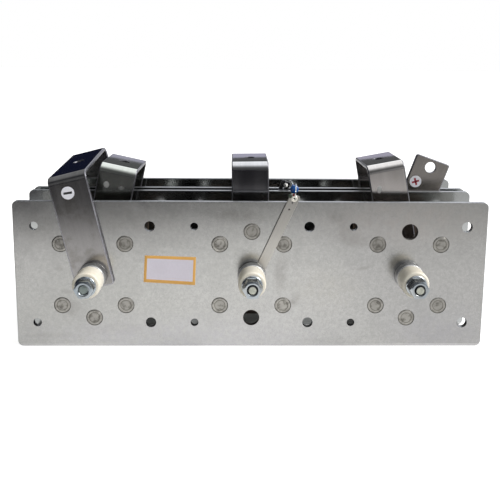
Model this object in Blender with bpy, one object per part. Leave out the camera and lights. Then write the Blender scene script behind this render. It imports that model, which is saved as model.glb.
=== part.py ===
# Three-phase bridge rectifier stack: four aluminium heat-sink plates with
# press-fit diodes, bus bars for the three AC phases and for both DC poles,
# all clamped on three through-bolts.
#
# Frame: X along the plates, Y from the front plate to the rear one, Z up.
# Z = 0 is the bottom edge of the plates, X = 0 the middle of the plates and
# Y = 0 the middle of the whole stack, from the front nuts to the bolt heads.
# Depths below are counted in millimetres from the front face of plate 1.

import math

import bmesh
import bpy
from mathutils import Vector

MM = 0.001
GAP = 0.3                    # clearance between pieces that touch

# plates
PLATE_W = 370.0
PLATE_H = 118.0
PLATE_T = 4.0
PLATE_R = 4.2
PLATE_D = (0.0, 42.5, 55.5, 98.0)        # front face of each plate

# studs and diode rings
STUD_X = (-124.0, 0.0, 124.0)
STUD_Z = 59.0
STUD_HOLE = 9.0
DIODE_OFFSET = 25.0          # corner diodes, across and up
DIODE_RING = 35.2            # radius of the diode ring
DIODE_D = 12.4
DIODE_HOLE = 12.9
SPARE_HOLE = 12.6
FIFTH = (-1, 1, -1)          # fifth diode below or above its stud
ROW_Z = 39.2                 # rows of small holes above and below the studs
ROW_HOLES = ((-169.0, 6.5), (-79.5, 8.0), (-45.0, 6.0),
             (45.0, 8.0), (79.5, 6.0), (169.0, 8.25))

# bus bars
BAR_W = 30.0
BAR_T = 3.0
BAR_R = 5.0                  # centreline radius of the bends
BAR_END = 10.0               # bar beyond the stud centre
BAR_HOLE = 8.6
AC_LEAN = (12.2, -0.9, -10.8)
AC_RISE = (84.0, 86.1, 87.2)
AC_LEG_D = (21.75, 77.25)    # front faces of the two legs
AC_HOLE = 8.5
MINUS_LEAN = (-13.0, -15.8)  # the strap twists a little over its top
MINUS_RISE = (82.3, 86.7)
MINUS_HOLE = 8.8
PLUS_W = 30.0
PLUS_LEAN = 19.3
PLUS_RISE = 90.8
PLUS_HOLE_AT = 83.6
PLUS_HOLE = 9.2

# collector plates between the diode rows
COLL_W = 80.0
COLL_H = 84.0
COLL_T = 2.0
COLL_D = (25.05, 74.95)

# stud hardware
BOLT_D = 8.0
BOLT_LEN = (140.0, 137.8, 137.8)
HEX_AF = 13.0
FLANGE_D = 16.0
FLANGE_T = 1.6
NUT_H = (8.0, 9.7, 11.0)     # the right-hand nuts stand taller
HEAD_H = 7.5
COLLAR_D = 22.0
COLLAR_L = 7.5
BUSH_D = 21.2
BUSH_L = 15.7
SPACER_D = 20.0
BORE_D = 8.7

# lug strips and the disc varistor
LUG_W = 8.0
LUG_T = 1.0
LUG_EYE = 18.0
LUG_LEN = 73.0
LUG_LEAN = (24.3, 21.2)
LUG_SHIFT = 4.0              # strip runs beside the stud centre
VAR_D = 6.8
VAR_T = 3.2
VAR_AT = (33.6, 12.0, 125.7)
LEAD_D = 0.8

SEG = 16                     # sides of the front collars and bushes
HOLE_SEG = 12                # sides of a diode, of its hole and of a spacer
SMALL_SEG = 8                # sides of a small hole
HEX_SEG = 12                 # sides of a piece with a hexagon on it
BEND_SEG = 4

REAR_FACE = PLATE_D[3] + PLATE_T
MINUS_REAR = REAR_FACE + GAP                      # rear leg of the minus strap
TIP_D = REAR_FACE + GAP - BOLT_LEN[1]             # tip of studs 2 and 3
BACK_D = MINUS_REAR + BAR_T + GAP + HEAD_H        # rearmost bolt head
MID_D = 0.5 * (TIP_D + BACK_D)


def point(x, depth, z):
    """Millimetres in plate coordinates to metres in the part's frame."""
    return Vector((x * MM, (depth - MID_D) * MM, z * MM))


# ---------------------------------------------------------------- materials
def material(name, colour, metallic, roughness):
    mat = bpy.data.materials.new(name)
    mat.use_nodes = True
    bsdf = mat.node_tree.nodes["Principled BSDF"]
    bsdf.inputs["Base Color"].default_value = (*colour, 1.0)
    bsdf.inputs["Metallic"].default_value = metallic
    bsdf.inputs["Roughness"].default_value = roughness
    mat.diffuse_color = (*colour, 1.0)
    return mat


def add_object(name, bm, mat, smooth=True):
    bmesh.ops.recalc_face_normals(bm, faces=bm.faces[:])
    mesh = bpy.data.meshes.new(name)
    bm.to_mesh(mesh)
    bm.free()
    mesh.materials.append(mat)
    if smooth:
        mesh.shade_smooth()
        mesh.set_sharp_from_angle(angle=math.radians(35.0))
    obj = bpy.data.objects.new(name, mesh)
    bpy.context.scene.collection.objects.link(obj)
    return obj


# ------------------------------------------------------------ flat outlines
def circle(cx, cy, diameter, count, turn=0.0):
    r = 0.5 * diameter
    return [(cx + r * math.cos(turn + 2.0 * math.pi * i / count),
             cy + r * math.sin(turn + 2.0 * math.pi * i / count))
            for i in range(count)]


def rounded_rectangle(x0, y0, x1, y1, radius, count):
    points = []
    for cx, cy, start in ((x1 - radius, y1 - radius, 0.0),
                          (x0 + radius, y1 - radius, 90.0),
                          (x0 + radius, y0 + radius, 180.0),
                          (x1 - radius, y0 + radius, 270.0)):
        for i in range(count + 1):
            a = math.radians(start + 90.0 * i / count)
            points.append((cx + radius * math.cos(a), cy + radius * math.sin(a)))
    return points


def filled_sheet(outline, holes):
    """A flat triangulated sheet in the local XY plane, holes left open."""
    bm = bmesh.new()
    edges = []
    for loop in [outline] + list(holes):
        verts = [bm.verts.new((x, y, 0.0)) for x, y in loop]
        for i, v in enumerate(verts):
            edges.append(bm.edges.new((v, verts[(i + 1) % len(verts)])))
    bmesh.ops.triangle_fill(bm, use_beauty=True, use_dissolve=False, edges=edges,
                            normal=(0.0, 0.0, 1.0))
    return bm


def thicken(bm, low, high):
    """Turn the sheet into a solid between the two heights."""
    top = bmesh.ops.extrude_face_region(bm, geom=bm.faces[:])
    moved = [g for g in top["geom"] if isinstance(g, bmesh.types.BMVert)]
    lifted = set(moved)
    for v in bm.verts:
        v.co.z = high if v in lifted else low
    return bm


def flat_piece(name, outline, holes, depth, thickness, mat):
    bm = thicken(filled_sheet(outline, holes), depth, depth + thickness)
    for v in bm.verts:
        v.co = point(v.co.x, v.co.z, v.co.y)
    return add_object(name, bm, mat)


def leaning(stud_x, lean, w, r):
    """Point at w across and r along a bar that leans about its stud."""
    a = math.radians(lean)
    return (stud_x + r * math.sin(a) + w * math.cos(a),
            STUD_Z + r * math.cos(a) - w * math.sin(a))


# ------------------------------------------------------------- round pieces
def ring(centre, depth, radius, count, hexagon=False):
    """Ring of points in a plane across Y; a hexagon takes its half width."""
    points = []
    for i in range(count):
        a = 2.0 * math.pi * i / count
        r = radius
        if hexagon:
            side = math.radians(60.0)
            r = radius / math.cos((a + side / 2.0) % side - side / 2.0)
        points.append(point(centre[0] + r * math.sin(a), depth,
                            centre[1] + r * math.cos(a)))
    return points


def loft(rings, closed):
    """Skin the rings in turn; closed joins the last ring to the first."""
    bm = bmesh.new()
    rows = [[bm.verts.new(p) for p in points] for points in rings]
    n = len(rows[0])
    pairs = list(zip(rows[:-1], rows[1:]))
    if closed:
        pairs.append((rows[-1], rows[0]))
    for a, b in pairs:
        for i in range(n):
            j = (i + 1) % n
            bm.faces.new((a[i], a[j], b[j], b[i]))
    if not closed:
        bm.faces.new(rows[0])
        bm.faces.new(list(reversed(rows[-1])))
    return bm


def sleeve(name, x, depth0, depth1, outer, bore, mat, count, chamfer=0.0):
    ro, ri = 0.5 * outer, 0.5 * bore
    c = (x, STUD_Z)
    rings = [ring(c, depth0, ri, count), ring(c, depth0, ro - chamfer, count)]
    if chamfer:
        rings += [ring(c, depth0 + chamfer, ro, count),
                  ring(c, depth1 - chamfer, ro, count)]
    rings += [ring(c, depth1, ro - chamfer, count), ring(c, depth1, ri, count)]
    return add_object(name, loft(rings, True), mat)


def flange_nut(name, x, seat, height, mat):
    """Hexagon nut with a flange, seated at depth `seat`, facing the front."""
    c = (x, STUD_Z)
    n = HEX_SEG
    half = 0.5 * HEX_AF
    rings = [ring(c, seat, 0.5 * BORE_D, n),
             ring(c, seat, 0.5 * FLANGE_D, n),
             ring(c, seat - FLANGE_T, 0.5 * FLANGE_D, n),
             ring(c, seat - FLANGE_T - 1.2, half, n, True),
             ring(c, seat - height + 0.9, half, n, True),
             ring(c, seat - height, 0.47 * HEX_AF, n),
             ring(c, seat - height, 0.5 * BORE_D + 0.3, n),
             ring(c, seat - height + 0.8, 0.5 * BORE_D, n)]
    return add_object(name, loft(rings, True), mat)


def through_bolt(name, x, seat, length, mat):
    """Flanged hexagon bolt, head bearing at depth `seat` on the rear side."""
    c = (x, STUD_Z)
    n = HEX_SEG
    half = 0.5 * HEX_AF
    tip = seat - length
    rings = [ring(c, tip, 0.5 * BOLT_D - 1.0, n),
             ring(c, tip + 1.0, 0.5 * BOLT_D, n),
             ring(c, seat, 0.5 * BOLT_D, n),
             ring(c, seat, 0.5 * FLANGE_D, n),
             ring(c, seat + FLANGE_T, 0.5 * FLANGE_D, n),
             ring(c, seat + FLANGE_T + 1.2, half, n, True),
             ring(c, seat + HEAD_H - 0.9, half, n, True),
             ring(c, seat + HEAD_H, 0.46 * HEX_AF, n)]
    return add_object(name, loft(rings, False), mat)


def press_fit_diode(name, x, z, lead_end, mat):
    """Diode body flush with the front face, glass neck and lead to the rear."""
    c = (x, z)
    r = 0.5 * DIODE_D
    n = HOLE_SEG
    rings = [ring(c, 0.0, r, n), ring(c, 6.2, r, n), ring(c, 6.2, 3.0, n),
             ring(c, 9.0, 0.75, n), ring(c, lead_end, 0.75, n)]
    return add_object(name, loft(rings, False), mat)


# ----------------------------------------------------------------- bus bars
def bent_bar(name, stud_x, leans, rises, leg_front, leg_rear, top_hole, mat):
    """U-shaped bar over the plates, folded from one flat strip.

    The strip is laid out flat with its holes, then wrapped round a path that
    climbs the front leg, crosses the top and drops down the rear leg. The
    second lean and rise are the rear leg's: the flat top then runs a little
    askew, and its bend lines take the mean of the two leans.
    """
    rise = rises[0]
    mean_lean = 0.5 * (leans[0] + leans[1])
    d0 = leg_front + 0.5 * BAR_T
    d1 = leg_rear + 0.5 * BAR_T
    leg = rise - 0.5 * BAR_T - BAR_R + BAR_END
    rear_leg = leg + rises[1] - rises[0]
    arc = 0.5 * math.pi * BAR_R
    top = (d1 - d0) - 2.0 * BAR_R
    middle = leg + arc + 0.5 * top
    length = leg + rear_leg + 2.0 * arc + top
    half = 0.5 * BAR_W

    holes = [circle(0.0, BAR_END, BAR_HOLE, HOLE_SEG),
             circle(0.0, middle, top_hole, SEG),
             circle(0.0, length - BAR_END, BAR_HOLE, HOLE_SEG)]
    bm = filled_sheet(rounded_rectangle(-half, 0.0, half, length, 1.0, 1), holes)
    stations = [leg + arc * i / BEND_SEG for i in range(BEND_SEG + 1)]
    stations += [leg + arc + top + arc * i / BEND_SEG for i in range(BEND_SEG + 1)]
    for s in stations:
        bmesh.ops.bisect_plane(bm, geom=bm.verts[:] + bm.edges[:] + bm.faces[:],
                               plane_co=(0.0, s, 0.0), plane_no=(0.0, 1.0, 0.0),
                               dist=1e-5)
    thicken(bm, -0.5 * BAR_T, 0.5 * BAR_T)

    for v in bm.verts:
        w, s, t = v.co
        if s <= leg:
            r, d, nr, nd = -BAR_END + s, d0, 0.0, -1.0
        elif s <= leg + arc:
            a = (s - leg) / BAR_R
            r = rise - 0.5 * BAR_T - BAR_R + BAR_R * math.sin(a)
            d = d0 + BAR_R - BAR_R * math.cos(a)
            nr, nd = math.sin(a), -math.cos(a)
        elif s <= leg + arc + top:
            r, d, nr, nd = rise - 0.5 * BAR_T, d0 + BAR_R + (s - leg - arc), 1.0, 0.0
        elif s <= leg + 2.0 * arc + top:
            a = (s - leg - arc - top) / BAR_R
            r = rise - 0.5 * BAR_T - BAR_R + BAR_R * math.cos(a)
            d = d1 - BAR_R + BAR_R * math.sin(a)
            nr, nd = math.cos(a), math.sin(a)
        else:
            r = rise - 0.5 * BAR_T - BAR_R - (s - leg - 2.0 * arc - top)
            d, nr, nd = d1, 0.0, 1.0
        r += t * nr
        d += t * nd
        f = min(max((s - leg - arc) / top, 0.0), 1.0)
        turn = min((s - leg) / arc, (length - rear_leg - s) / arc, 1.0)
        turn = max(turn, 0.0)
        own = leans[0] if s < middle else leans[1]
        across = math.radians(own + turn * (mean_lean - own))
        front = leaning(stud_x, leans[0], 0.0, r)
        rear = leaning(stud_x, leans[1], 0.0, r + rises[1] - rises[0])
        x = front[0] + f * (rear[0] - front[0]) + w * math.cos(across)
        z = front[1] + f * (rear[1] - front[1]) - w * math.sin(across)
        v.co = point(x, d, z)
    return add_object(name, bm, mat)


def straight_strap(name, stud_x, lean, rise, depth, mat):
    half = 0.5 * PLUS_W
    outline = rounded_rectangle(-half, -BAR_END, half, rise, 1.2, 2)
    holes = [circle(0.0, 0.0, BAR_HOLE, HOLE_SEG),
             circle(0.0, PLUS_HOLE_AT, PLUS_HOLE, SEG)]
    bm = thicken(filled_sheet(outline, holes), depth, depth + BAR_T)
    for v in bm.verts:
        x, z = leaning(stud_x, lean, v.co.x, v.co.y)
        v.co = point(x, v.co.z, z)
    return add_object(name, bm, mat)


def lug_strip(name, stud_x, lean, depth, mat):
    """Thin strip with an eye round the stud and a tail running beside it."""
    r = 0.5 * LUG_EYE
    left, right = LUG_SHIFT - 0.5 * LUG_W, LUG_SHIFT + 0.5 * LUG_W
    a_right = math.atan2(math.sqrt(r * r - right * right), right)
    a_left = math.atan2(math.sqrt(r * r - left * left), left)
    count = 18
    sweep = 2.0 * math.pi - (a_left - a_right)
    outline = [(r * math.cos(a_left + sweep * i / count),
                r * math.sin(a_left + sweep * i / count))
               for i in range(count + 1)]
    outline += [(right, LUG_LEN - 1.5), (right - 1.5, LUG_LEN),
                (left + 1.5, LUG_LEN), (left, LUG_LEN - 1.5)]
    holes = [circle(0.0, 0.0, BAR_HOLE, HOLE_SEG),
             circle(LUG_SHIFT, 60.6, 1.4, SMALL_SEG),
             circle(LUG_SHIFT, 66.2, 1.4, SMALL_SEG)]
    bm = thicken(filled_sheet(outline, holes), depth, depth + LUG_T)
    for v in bm.verts:
        x, z = leaning(stud_x, lean, v.co.x, v.co.y)
        v.co = point(x, v.co.z, z)
    return add_object(name, bm, mat)


# ----------------------------------------------------------------- varistor
def tube(points, diameter, count):
    """Closed round wire along a list of points given in metres."""
    rings = []
    for i, p in enumerate(points):
        a = points[max(i - 1, 0)]
        b = points[min(i + 1, len(points) - 1)]
        axis = (b - a).normalized()
        side = axis.cross(Vector((1.0, 0.0, 0.0))).normalized()
        up = axis.cross(side).normalized()
        rings.append([p + (side * math.cos(2.0 * math.pi * k / count)
                           + up * math.sin(2.0 * math.pi * k / count))
                      * 0.5 * diameter * MM for k in range(count)])
    return loft(rings, False)


def hidden_cutter(name, bm, mat):
    obj = add_object(name, bm, mat, smooth=False)
    obj.hide_render = True
    obj.display_type = "WIRE"
    return obj


def disc_varistor(name, mat):
    """Lacquered disc with two leads bent over to the lug strips."""
    x, d, z = VAR_AT
    r, t = 0.5 * VAR_D, 0.5 * VAR_T
    c = (x, z)
    rings = [ring(c, d - t, r - 1.1, 16), ring(c, d - t + 0.5, r - 0.2, 16),
             ring(c, d, r, 16), ring(c, d + t - 0.5, r - 0.2, 16),
             ring(c, d + t, r - 1.1, 16)]
    obj = add_object(name, loft(rings, False), mat)

    front_top = leaning(STUD_X[1], LUG_LEAN[0], LUG_SHIFT, 69.3)
    rear_top = leaning(STUD_X[1], LUG_LEAN[1], LUG_SHIFT + 0.6, 69.3)
    front = [point(x + 1.2, d, z + r - 1.2), point(x + 1.4, d - 0.4, z + r + 0.8),
             point(x + 1.5, d - 3.0, z + r + 2.2), point(x + 1.3, d - 7.5, z + r + 2.0),
             point(x + 0.9, d - 11.5, z + r - 0.4),
             point(front_top[0] + 0.6, -LUG_T - 2.0 * GAP - 0.5, front_top[1] + 5.4),
             point(front_top[0], -LUG_T - 2.0 * GAP - 0.4, front_top[1])]
    rear = [point(x - 1.2, d, z + r - 1.2), point(x - 1.4, d + 0.6, z + r + 0.8),
            point(x - 1.7, d + 4.0, z + r + 3.0), point(x - 2.2, d + 16.0, z + r + 4.2),
            point(rear_top[0], PLATE_D[1] + 0.5, rear_top[1] + 4.0),
            point(rear_top[0], PLATE_D[1] + PLATE_T - 0.4, rear_top[1])]
    for tag, path in (("front", front), ("rear", rear)):
        cutter = hidden_cutter("lead_guide_" + tag, tube(path, LEAD_D, 6), mat)
        mod = obj.modifiers.new("lead_" + tag, "BOOLEAN")
        mod.operation = "UNION"
        mod.solver = "EXACT"
        mod.object = cutter
    return obj


# ------------------------------------------------------------------- build
def build():
    for obj in list(bpy.data.objects):
        bpy.data.objects.remove(obj, do_unlink=True)

    plate_mat = material("plate_aluminium", (0.52, 0.52, 0.50), 1.0, 0.30)
    bar_mat = material("tinned_bar", (0.42, 0.41, 0.40), 1.0, 0.28)
    coll_mat = material("collector_copper", (0.55, 0.42, 0.33), 1.0, 0.40)
    zinc_mat = material("bright_zinc", (0.74, 0.76, 0.78), 1.0, 0.18)
    collar_mat = material("collar_steel", (0.36, 0.36, 0.36), 1.0, 0.35)
    bush_mat = material("cream_insulator", (0.78, 0.71, 0.56), 0.0, 0.40)
    diode_mat = material("diode_case", (0.36, 0.34, 0.31), 1.0, 0.45)
    lug_mat = material("lug_steel", (0.50, 0.50, 0.48), 1.0, 0.35)
    disc_mat = material("varistor_lacquer", (0.02, 0.12, 0.42), 0.0, 0.30)

    # heat-sink plates, all drilled alike
    holes = []
    for x, side in zip(STUD_X, FIFTH):
        holes.append(circle(x, STUD_Z, STUD_HOLE, HOLE_SEG))
        for sx in (-1, 1):
            for sz in (-1, 1):
                holes.append(circle(x + sx * DIODE_OFFSET,
                                    STUD_Z + sz * DIODE_OFFSET, DIODE_HOLE,
                                    HOLE_SEG))
        holes.append(circle(x, STUD_Z + side * DIODE_RING, DIODE_HOLE, HOLE_SEG))
        holes.append(circle(x, STUD_Z - side * DIODE_RING, SPARE_HOLE, HOLE_SEG))
    for x, diameter in ROW_HOLES:
        for sz in (-1, 1):
            holes.append(circle(x, STUD_Z + sz * ROW_Z, diameter, SMALL_SEG))
    outline = rounded_rectangle(-0.5 * PLATE_W, 0.0, 0.5 * PLATE_W, PLATE_H,
                                PLATE_R, 4)
    for i, depth in enumerate(PLATE_D):
        flat_piece("heatsink_plate_%d" % (i + 1), outline, holes, depth,
                   PLATE_T, plate_mat)

    # collector plates of the three phases, one in each wide gap
    for i, x in enumerate(STUD_X):
        for tag, depth in zip(("front", "rear"), COLL_D):
            flat_piece("ac%d_collector_%s" % (i + 1, tag),
                       rounded_rectangle(x - 0.5 * COLL_W, STUD_Z - 0.5 * COLL_H,
                                         x + 0.5 * COLL_W, STUD_Z + 0.5 * COLL_H,
                                         4.0, 2),
                       [circle(x, STUD_Z, BAR_HOLE, HOLE_SEG)], depth, COLL_T, coll_mat)

    # bus bars
    for i, x in enumerate(STUD_X):
        bent_bar("ac%d_bracket" % (i + 1), x, (AC_LEAN[i], AC_LEAN[i]),
                 (AC_RISE[i], AC_RISE[i]),
                 AC_LEG_D[0], AC_LEG_D[1], AC_HOLE, bar_mat)
    bent_bar("minus_strap", STUD_X[0], MINUS_LEAN, MINUS_RISE,
             -GAP - BAR_T, MINUS_REAR, MINUS_HOLE, bar_mat)
    straight_strap("plus_strap", STUD_X[2], PLUS_LEAN, PLUS_RISE,
                   PLATE_D[1] + PLATE_T + GAP, bar_mat)

    # lug strips on the middle stud and the varistor across them
    lug_strip("lug_strip_front", STUD_X[1], LUG_LEAN[0], -GAP - LUG_T, lug_mat)
    lug_strip("lug_strip_rear", STUD_X[1], LUG_LEAN[1],
              PLATE_D[1] + PLATE_T + GAP, lug_mat)
    disc_varistor("disc_varistor", disc_mat)

    # what lies under the front collar and under the bolt head of each stud
    under_collar = (GAP + BAR_T, GAP + LUG_T, 0.0)
    under_head = (GAP + BAR_T, 0.0, 0.0)
    in_middle = (0.0, GAP + LUG_T, GAP + BAR_T)
    for i, x in enumerate(STUD_X):
        n = i + 1
        seat = -under_collar[i] - GAP
        sleeve("stud%d_collar" % n, x, seat - COLLAR_L, seat, COLLAR_D, BORE_D,
               collar_mat, SEG)
        seat -= COLLAR_L + GAP
        sleeve("stud%d_bush" % n, x, seat - BUSH_L, seat, BUSH_D, BORE_D,
               bush_mat, SEG, 0.8)
        seat -= BUSH_L + GAP
        flange_nut("stud%d_nut" % n, x, seat, NUT_H[n - 1], zinc_mat)
        through_bolt("stud%d_bolt" % n, x, REAR_FACE + under_head[i] + GAP,
                     BOLT_LEN[i], zinc_mat)

        spans = ((PLATE_D[0] + PLATE_T, AC_LEG_D[0]),
                 (COLL_D[0] + COLL_T, PLATE_D[1]),
                 (PLATE_D[2] + PLATE_T, COLL_D[1]),
                 (AC_LEG_D[1] + BAR_T, PLATE_D[3]))
        for tag, (a, b) in zip("abcd", spans):
            sleeve("stud%d_spacer_%s" % (n, tag), x, a + GAP, b - GAP, SPACER_D,
                   BORE_D, bush_mat, HOLE_SEG)
        sleeve("stud%d_middle_ring" % n, x,
               PLATE_D[1] + PLATE_T + in_middle[i] + GAP, PLATE_D[2] - GAP,
               SPACER_D, BORE_D, collar_mat, HOLE_SEG)

    # press-fit diodes of the front plate
    for i, (x, side) in enumerate(zip(STUD_X, FIFTH)):
        spots = [(sx * DIODE_OFFSET, sz * DIODE_OFFSET)
                 for sz in (1, -1) for sx in (-1, 1)]
        spots.append((0.0, side * DIODE_RING))
        for k, (dx, dz) in enumerate(spots):
            on_leg = dx == 0.0 and side > 0
            lead_end = (AC_LEG_D[0] if on_leg else COLL_D[0]) - GAP
            press_fit_diode("diode_%d%s" % (i + 1, "abcde"[k]), x + dx,
                            STUD_Z + dz, lead_end, diode_mat)


build()
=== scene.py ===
import math

import bmesh
import bpy
from mathutils import Euler, Matrix, Vector


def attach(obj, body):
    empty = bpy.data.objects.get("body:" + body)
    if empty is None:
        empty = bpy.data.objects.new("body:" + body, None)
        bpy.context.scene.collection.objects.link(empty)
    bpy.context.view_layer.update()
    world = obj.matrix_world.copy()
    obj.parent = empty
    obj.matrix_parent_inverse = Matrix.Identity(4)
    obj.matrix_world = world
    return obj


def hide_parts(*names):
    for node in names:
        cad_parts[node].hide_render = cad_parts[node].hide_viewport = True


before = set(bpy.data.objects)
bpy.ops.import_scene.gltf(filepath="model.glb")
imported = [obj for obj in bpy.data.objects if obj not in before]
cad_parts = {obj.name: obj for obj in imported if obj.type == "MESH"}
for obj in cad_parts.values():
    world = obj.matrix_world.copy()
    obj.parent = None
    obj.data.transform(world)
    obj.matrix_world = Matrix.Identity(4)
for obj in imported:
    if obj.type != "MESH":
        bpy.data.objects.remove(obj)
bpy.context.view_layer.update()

# ------------------------------------------------------------------ sizes
# Millimetres. X along the plates, depth from the front face of plate 1,
# Z up from the plates' bottom edges.
MM = 0.001
MID_D = 38.8                 # depth of Y = 0

PLATE_W, PLATE_H, PLATE_T, PLATE_R = 370.0, 118.0, 4.0, 4.2
PLATE_D = (0.0, 42.5, 55.5, 98.0)
STUD_X = (-124.0, 0.0, 124.0)
STUD_Z = 59.0
STUD_HOLE = 9.0
DIODE_OFFSET, DIODE_RING = 25.0, 35.2
DIODE_D, DIODE_HOLE, SPARE_HOLE = 12.4, 12.9, 12.6
FIFTH = (-1, 1, -1)
ROW_Z = 39.2
ROW_HOLES = ((-169.0, 6.5), (-79.5, 8.0), (-45.0, 6.0),
             (45.0, 8.0), (79.5, 6.0), (169.0, 8.25))

BAR_W, BAR_T, BAR_R, BAR_END, BAR_HOLE = 30.0, 3.0, 5.0, 10.0, 8.6
AC_LEAN = (12.2, -0.9, -10.8)
AC_RISE = (84.0, 86.1, 87.2)
AC_LEG_D = (21.75, 77.25)
AC_HOLE = 8.5
MINUS_LEAN, MINUS_RISE, MINUS_HOLE = (-13.0, -15.8), (82.3, 86.7), 8.8
MINUS_LEG_D = (-3.3, 102.3)
PLUS_W, PLUS_LEAN, PLUS_RISE = 30.0, 19.3, 90.8
PLUS_HOLE_AT, PLUS_HOLE, PLUS_D = 83.6, 9.2, 46.8

COLL_W, COLL_H, COLL_T, COLL_D = 80.0, 84.0, 2.0, (25.05, 74.95)

BOLT_D, PITCH, HEX_AF, FLANGE_D, FLANGE_T = 8.0, 1.25, 13.0, 16.0, 1.6
NUT_H, HEAD_H = (8.0, 9.7, 11.0), 7.5
COLLAR_D, BUSH_D, SPACER_D, BORE_D = 22.0, 21.2, 20.0, 8.7
STUDS = ({"collar": (-11.1, -3.6), "bush": (-27.1, -11.4), "seat": -27.4,
          "tip": -34.4, "head": 105.6, "ring": (46.8, 55.2)},
         {"collar": (-9.1, -1.6), "bush": (-25.1, -9.4), "seat": -25.4,
          "tip": -35.5, "head": 102.3, "ring": (48.1, 55.2)},
         {"collar": (-7.8, -0.3), "bush": (-23.8, -8.1), "seat": -24.1,
          "tip": -35.5, "head": 102.3, "ring": (50.1, 55.2)})
SPACERS = (("a", 4.3, 21.45), ("b", 27.35, 42.2), ("c", 59.8, 74.65),
           ("d", 80.55, 97.7))

LUG_W, LUG_T, LUG_EYE, LUG_LEN, LUG_SHIFT = 8.0, 1.0, 18.0, 73.0, 4.0
LUG_LEAN = (24.3, 21.2)
LUG_D = (-1.3, 46.8)
VAR_D, VAR_T, VAR_AT, LEAD_D = 6.8, 3.2, (33.6, 12.0, 125.7), 0.8


def P(x, depth, z):
    """Millimetres in plate coordinates to metres in the part's frame."""
    return Vector((x * MM, (depth - MID_D) * MM, z * MM))


# ------------------------------------------------------------ node helpers
class Tree:
    """A procedural material built round one Principled shader."""

    def __init__(self, name, metallic=1.0, roughness=0.3, **fixed):
        self.mat = bpy.data.materials.new(name)
        self.mat.use_nodes = True
        self.tree = self.mat.node_tree
        self.bsdf = self.tree.nodes["Principled BSDF"]
        self.bsdf.inputs["Metallic"].default_value = metallic
        self.bsdf.inputs["Roughness"].default_value = roughness
        for key, value in fixed.items():
            self.bsdf.inputs[key.replace("_", " ")].default_value = value
        self.coord = self.tree.nodes.new("ShaderNodeTexCoord").outputs["Object"]

    def node(self, kind, inputs=(), **props):
        n = self.tree.nodes.new(kind)
        for key, value in props.items():
            setattr(n, key, value)
        for key, value in inputs:
            if isinstance(value, bpy.types.NodeSocket):
                self.tree.links.new(value, n.inputs[key])
            else:
                n.inputs[key].default_value = value
        return n

    def turned(self, scale, angles=(0.0, 0.0, 0.0), place=(0.0, 0.0, 0.0)):
        """Object coordinates, turned back by the angles, then stretched."""
        return self.node("ShaderNodeMapping",
                         (("Vector", self.coord), ("Location", place),
                          ("Rotation", tuple(math.radians(a) for a in angles)),
                          ("Scale", tuple(1.0 / s for s in scale))),
                         vector_type="TEXTURE").outputs["Vector"]

    def noise(self, scale, detail=3.0, rough=0.55, vector=None, distort=0.0):
        return self.node("ShaderNodeTexNoise",
                         (("Vector", vector or self.coord), ("Scale", scale),
                          ("Detail", detail), ("Roughness", rough),
                          ("Distortion", distort))).outputs["Fac"]

    def span(self, value, low, high, out_low=0.0, out_high=1.0, smooth=True):
        return self.node("ShaderNodeMapRange",
                         (("Value", value), ("From Min", low), ("From Max", high),
                          ("To Min", out_low), ("To Max", out_high)),
                         interpolation_type="SMOOTHSTEP" if smooth else "LINEAR"
                         ).outputs["Result"]

    def math(self, op, a, b=0.0, c=0.0):
        n = self.node("ShaderNodeMath", ((0, a), (1, b)), operation=op)
        if op in ("MULTIPLY_ADD",):
            n.inputs[2].default_value = c
        return n.outputs[0]

    def mix(self, factor, a, b, blend="MIX"):
        n = self.node("ShaderNodeMix", data_type="RGBA", blend_type=blend)
        for key, value in (("Factor_Float", factor), ("A_Color", a), ("B_Color", b)):
            socket = next(s for s in n.inputs if s.identifier == key)
            if isinstance(value, bpy.types.NodeSocket):
                self.tree.links.new(value, socket)
            elif key == "Factor_Float":
                socket.default_value = value
            else:
                socket.default_value = (*value, 1.0) if len(value) == 3 else value
        return next(s for s in n.outputs if s.identifier == "Result_Color")

    def colour(self, socket):
        self.tree.links.new(socket, self.bsdf.inputs["Base Color"])

    def roughness(self, socket):
        self.tree.links.new(socket, self.bsdf.inputs["Roughness"])

    def bump(self, height, strength, distance):
        """Adds a bump layer on top of those already there."""
        n = self.node("ShaderNodeBump", (("Height", height), ("Strength", strength),
                                         ("Distance", distance)))
        old = self.bsdf.inputs["Normal"]
        if old.is_linked:
            self.tree.links.new(old.links[0].from_socket, n.inputs["Normal"])
        self.tree.links.new(n.outputs["Normal"], old)

    def spot(self, x, z, wide, high, inner=0.3, lean=0.0):
        """1 inside a soft ellipse on a plate's face, 0 well outside it."""
        v = self.turned((1000.0 / wide, 0.0001, 1000.0 / high), (0.0, lean, 0.0),
                        (x * MM, 0.0, z * MM))
        n = self.node("ShaderNodeVectorMath", ((0, v),), operation="LENGTH")
        return self.span(n.outputs["Value"], inner, 1.0, 1.0, 0.0)


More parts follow.
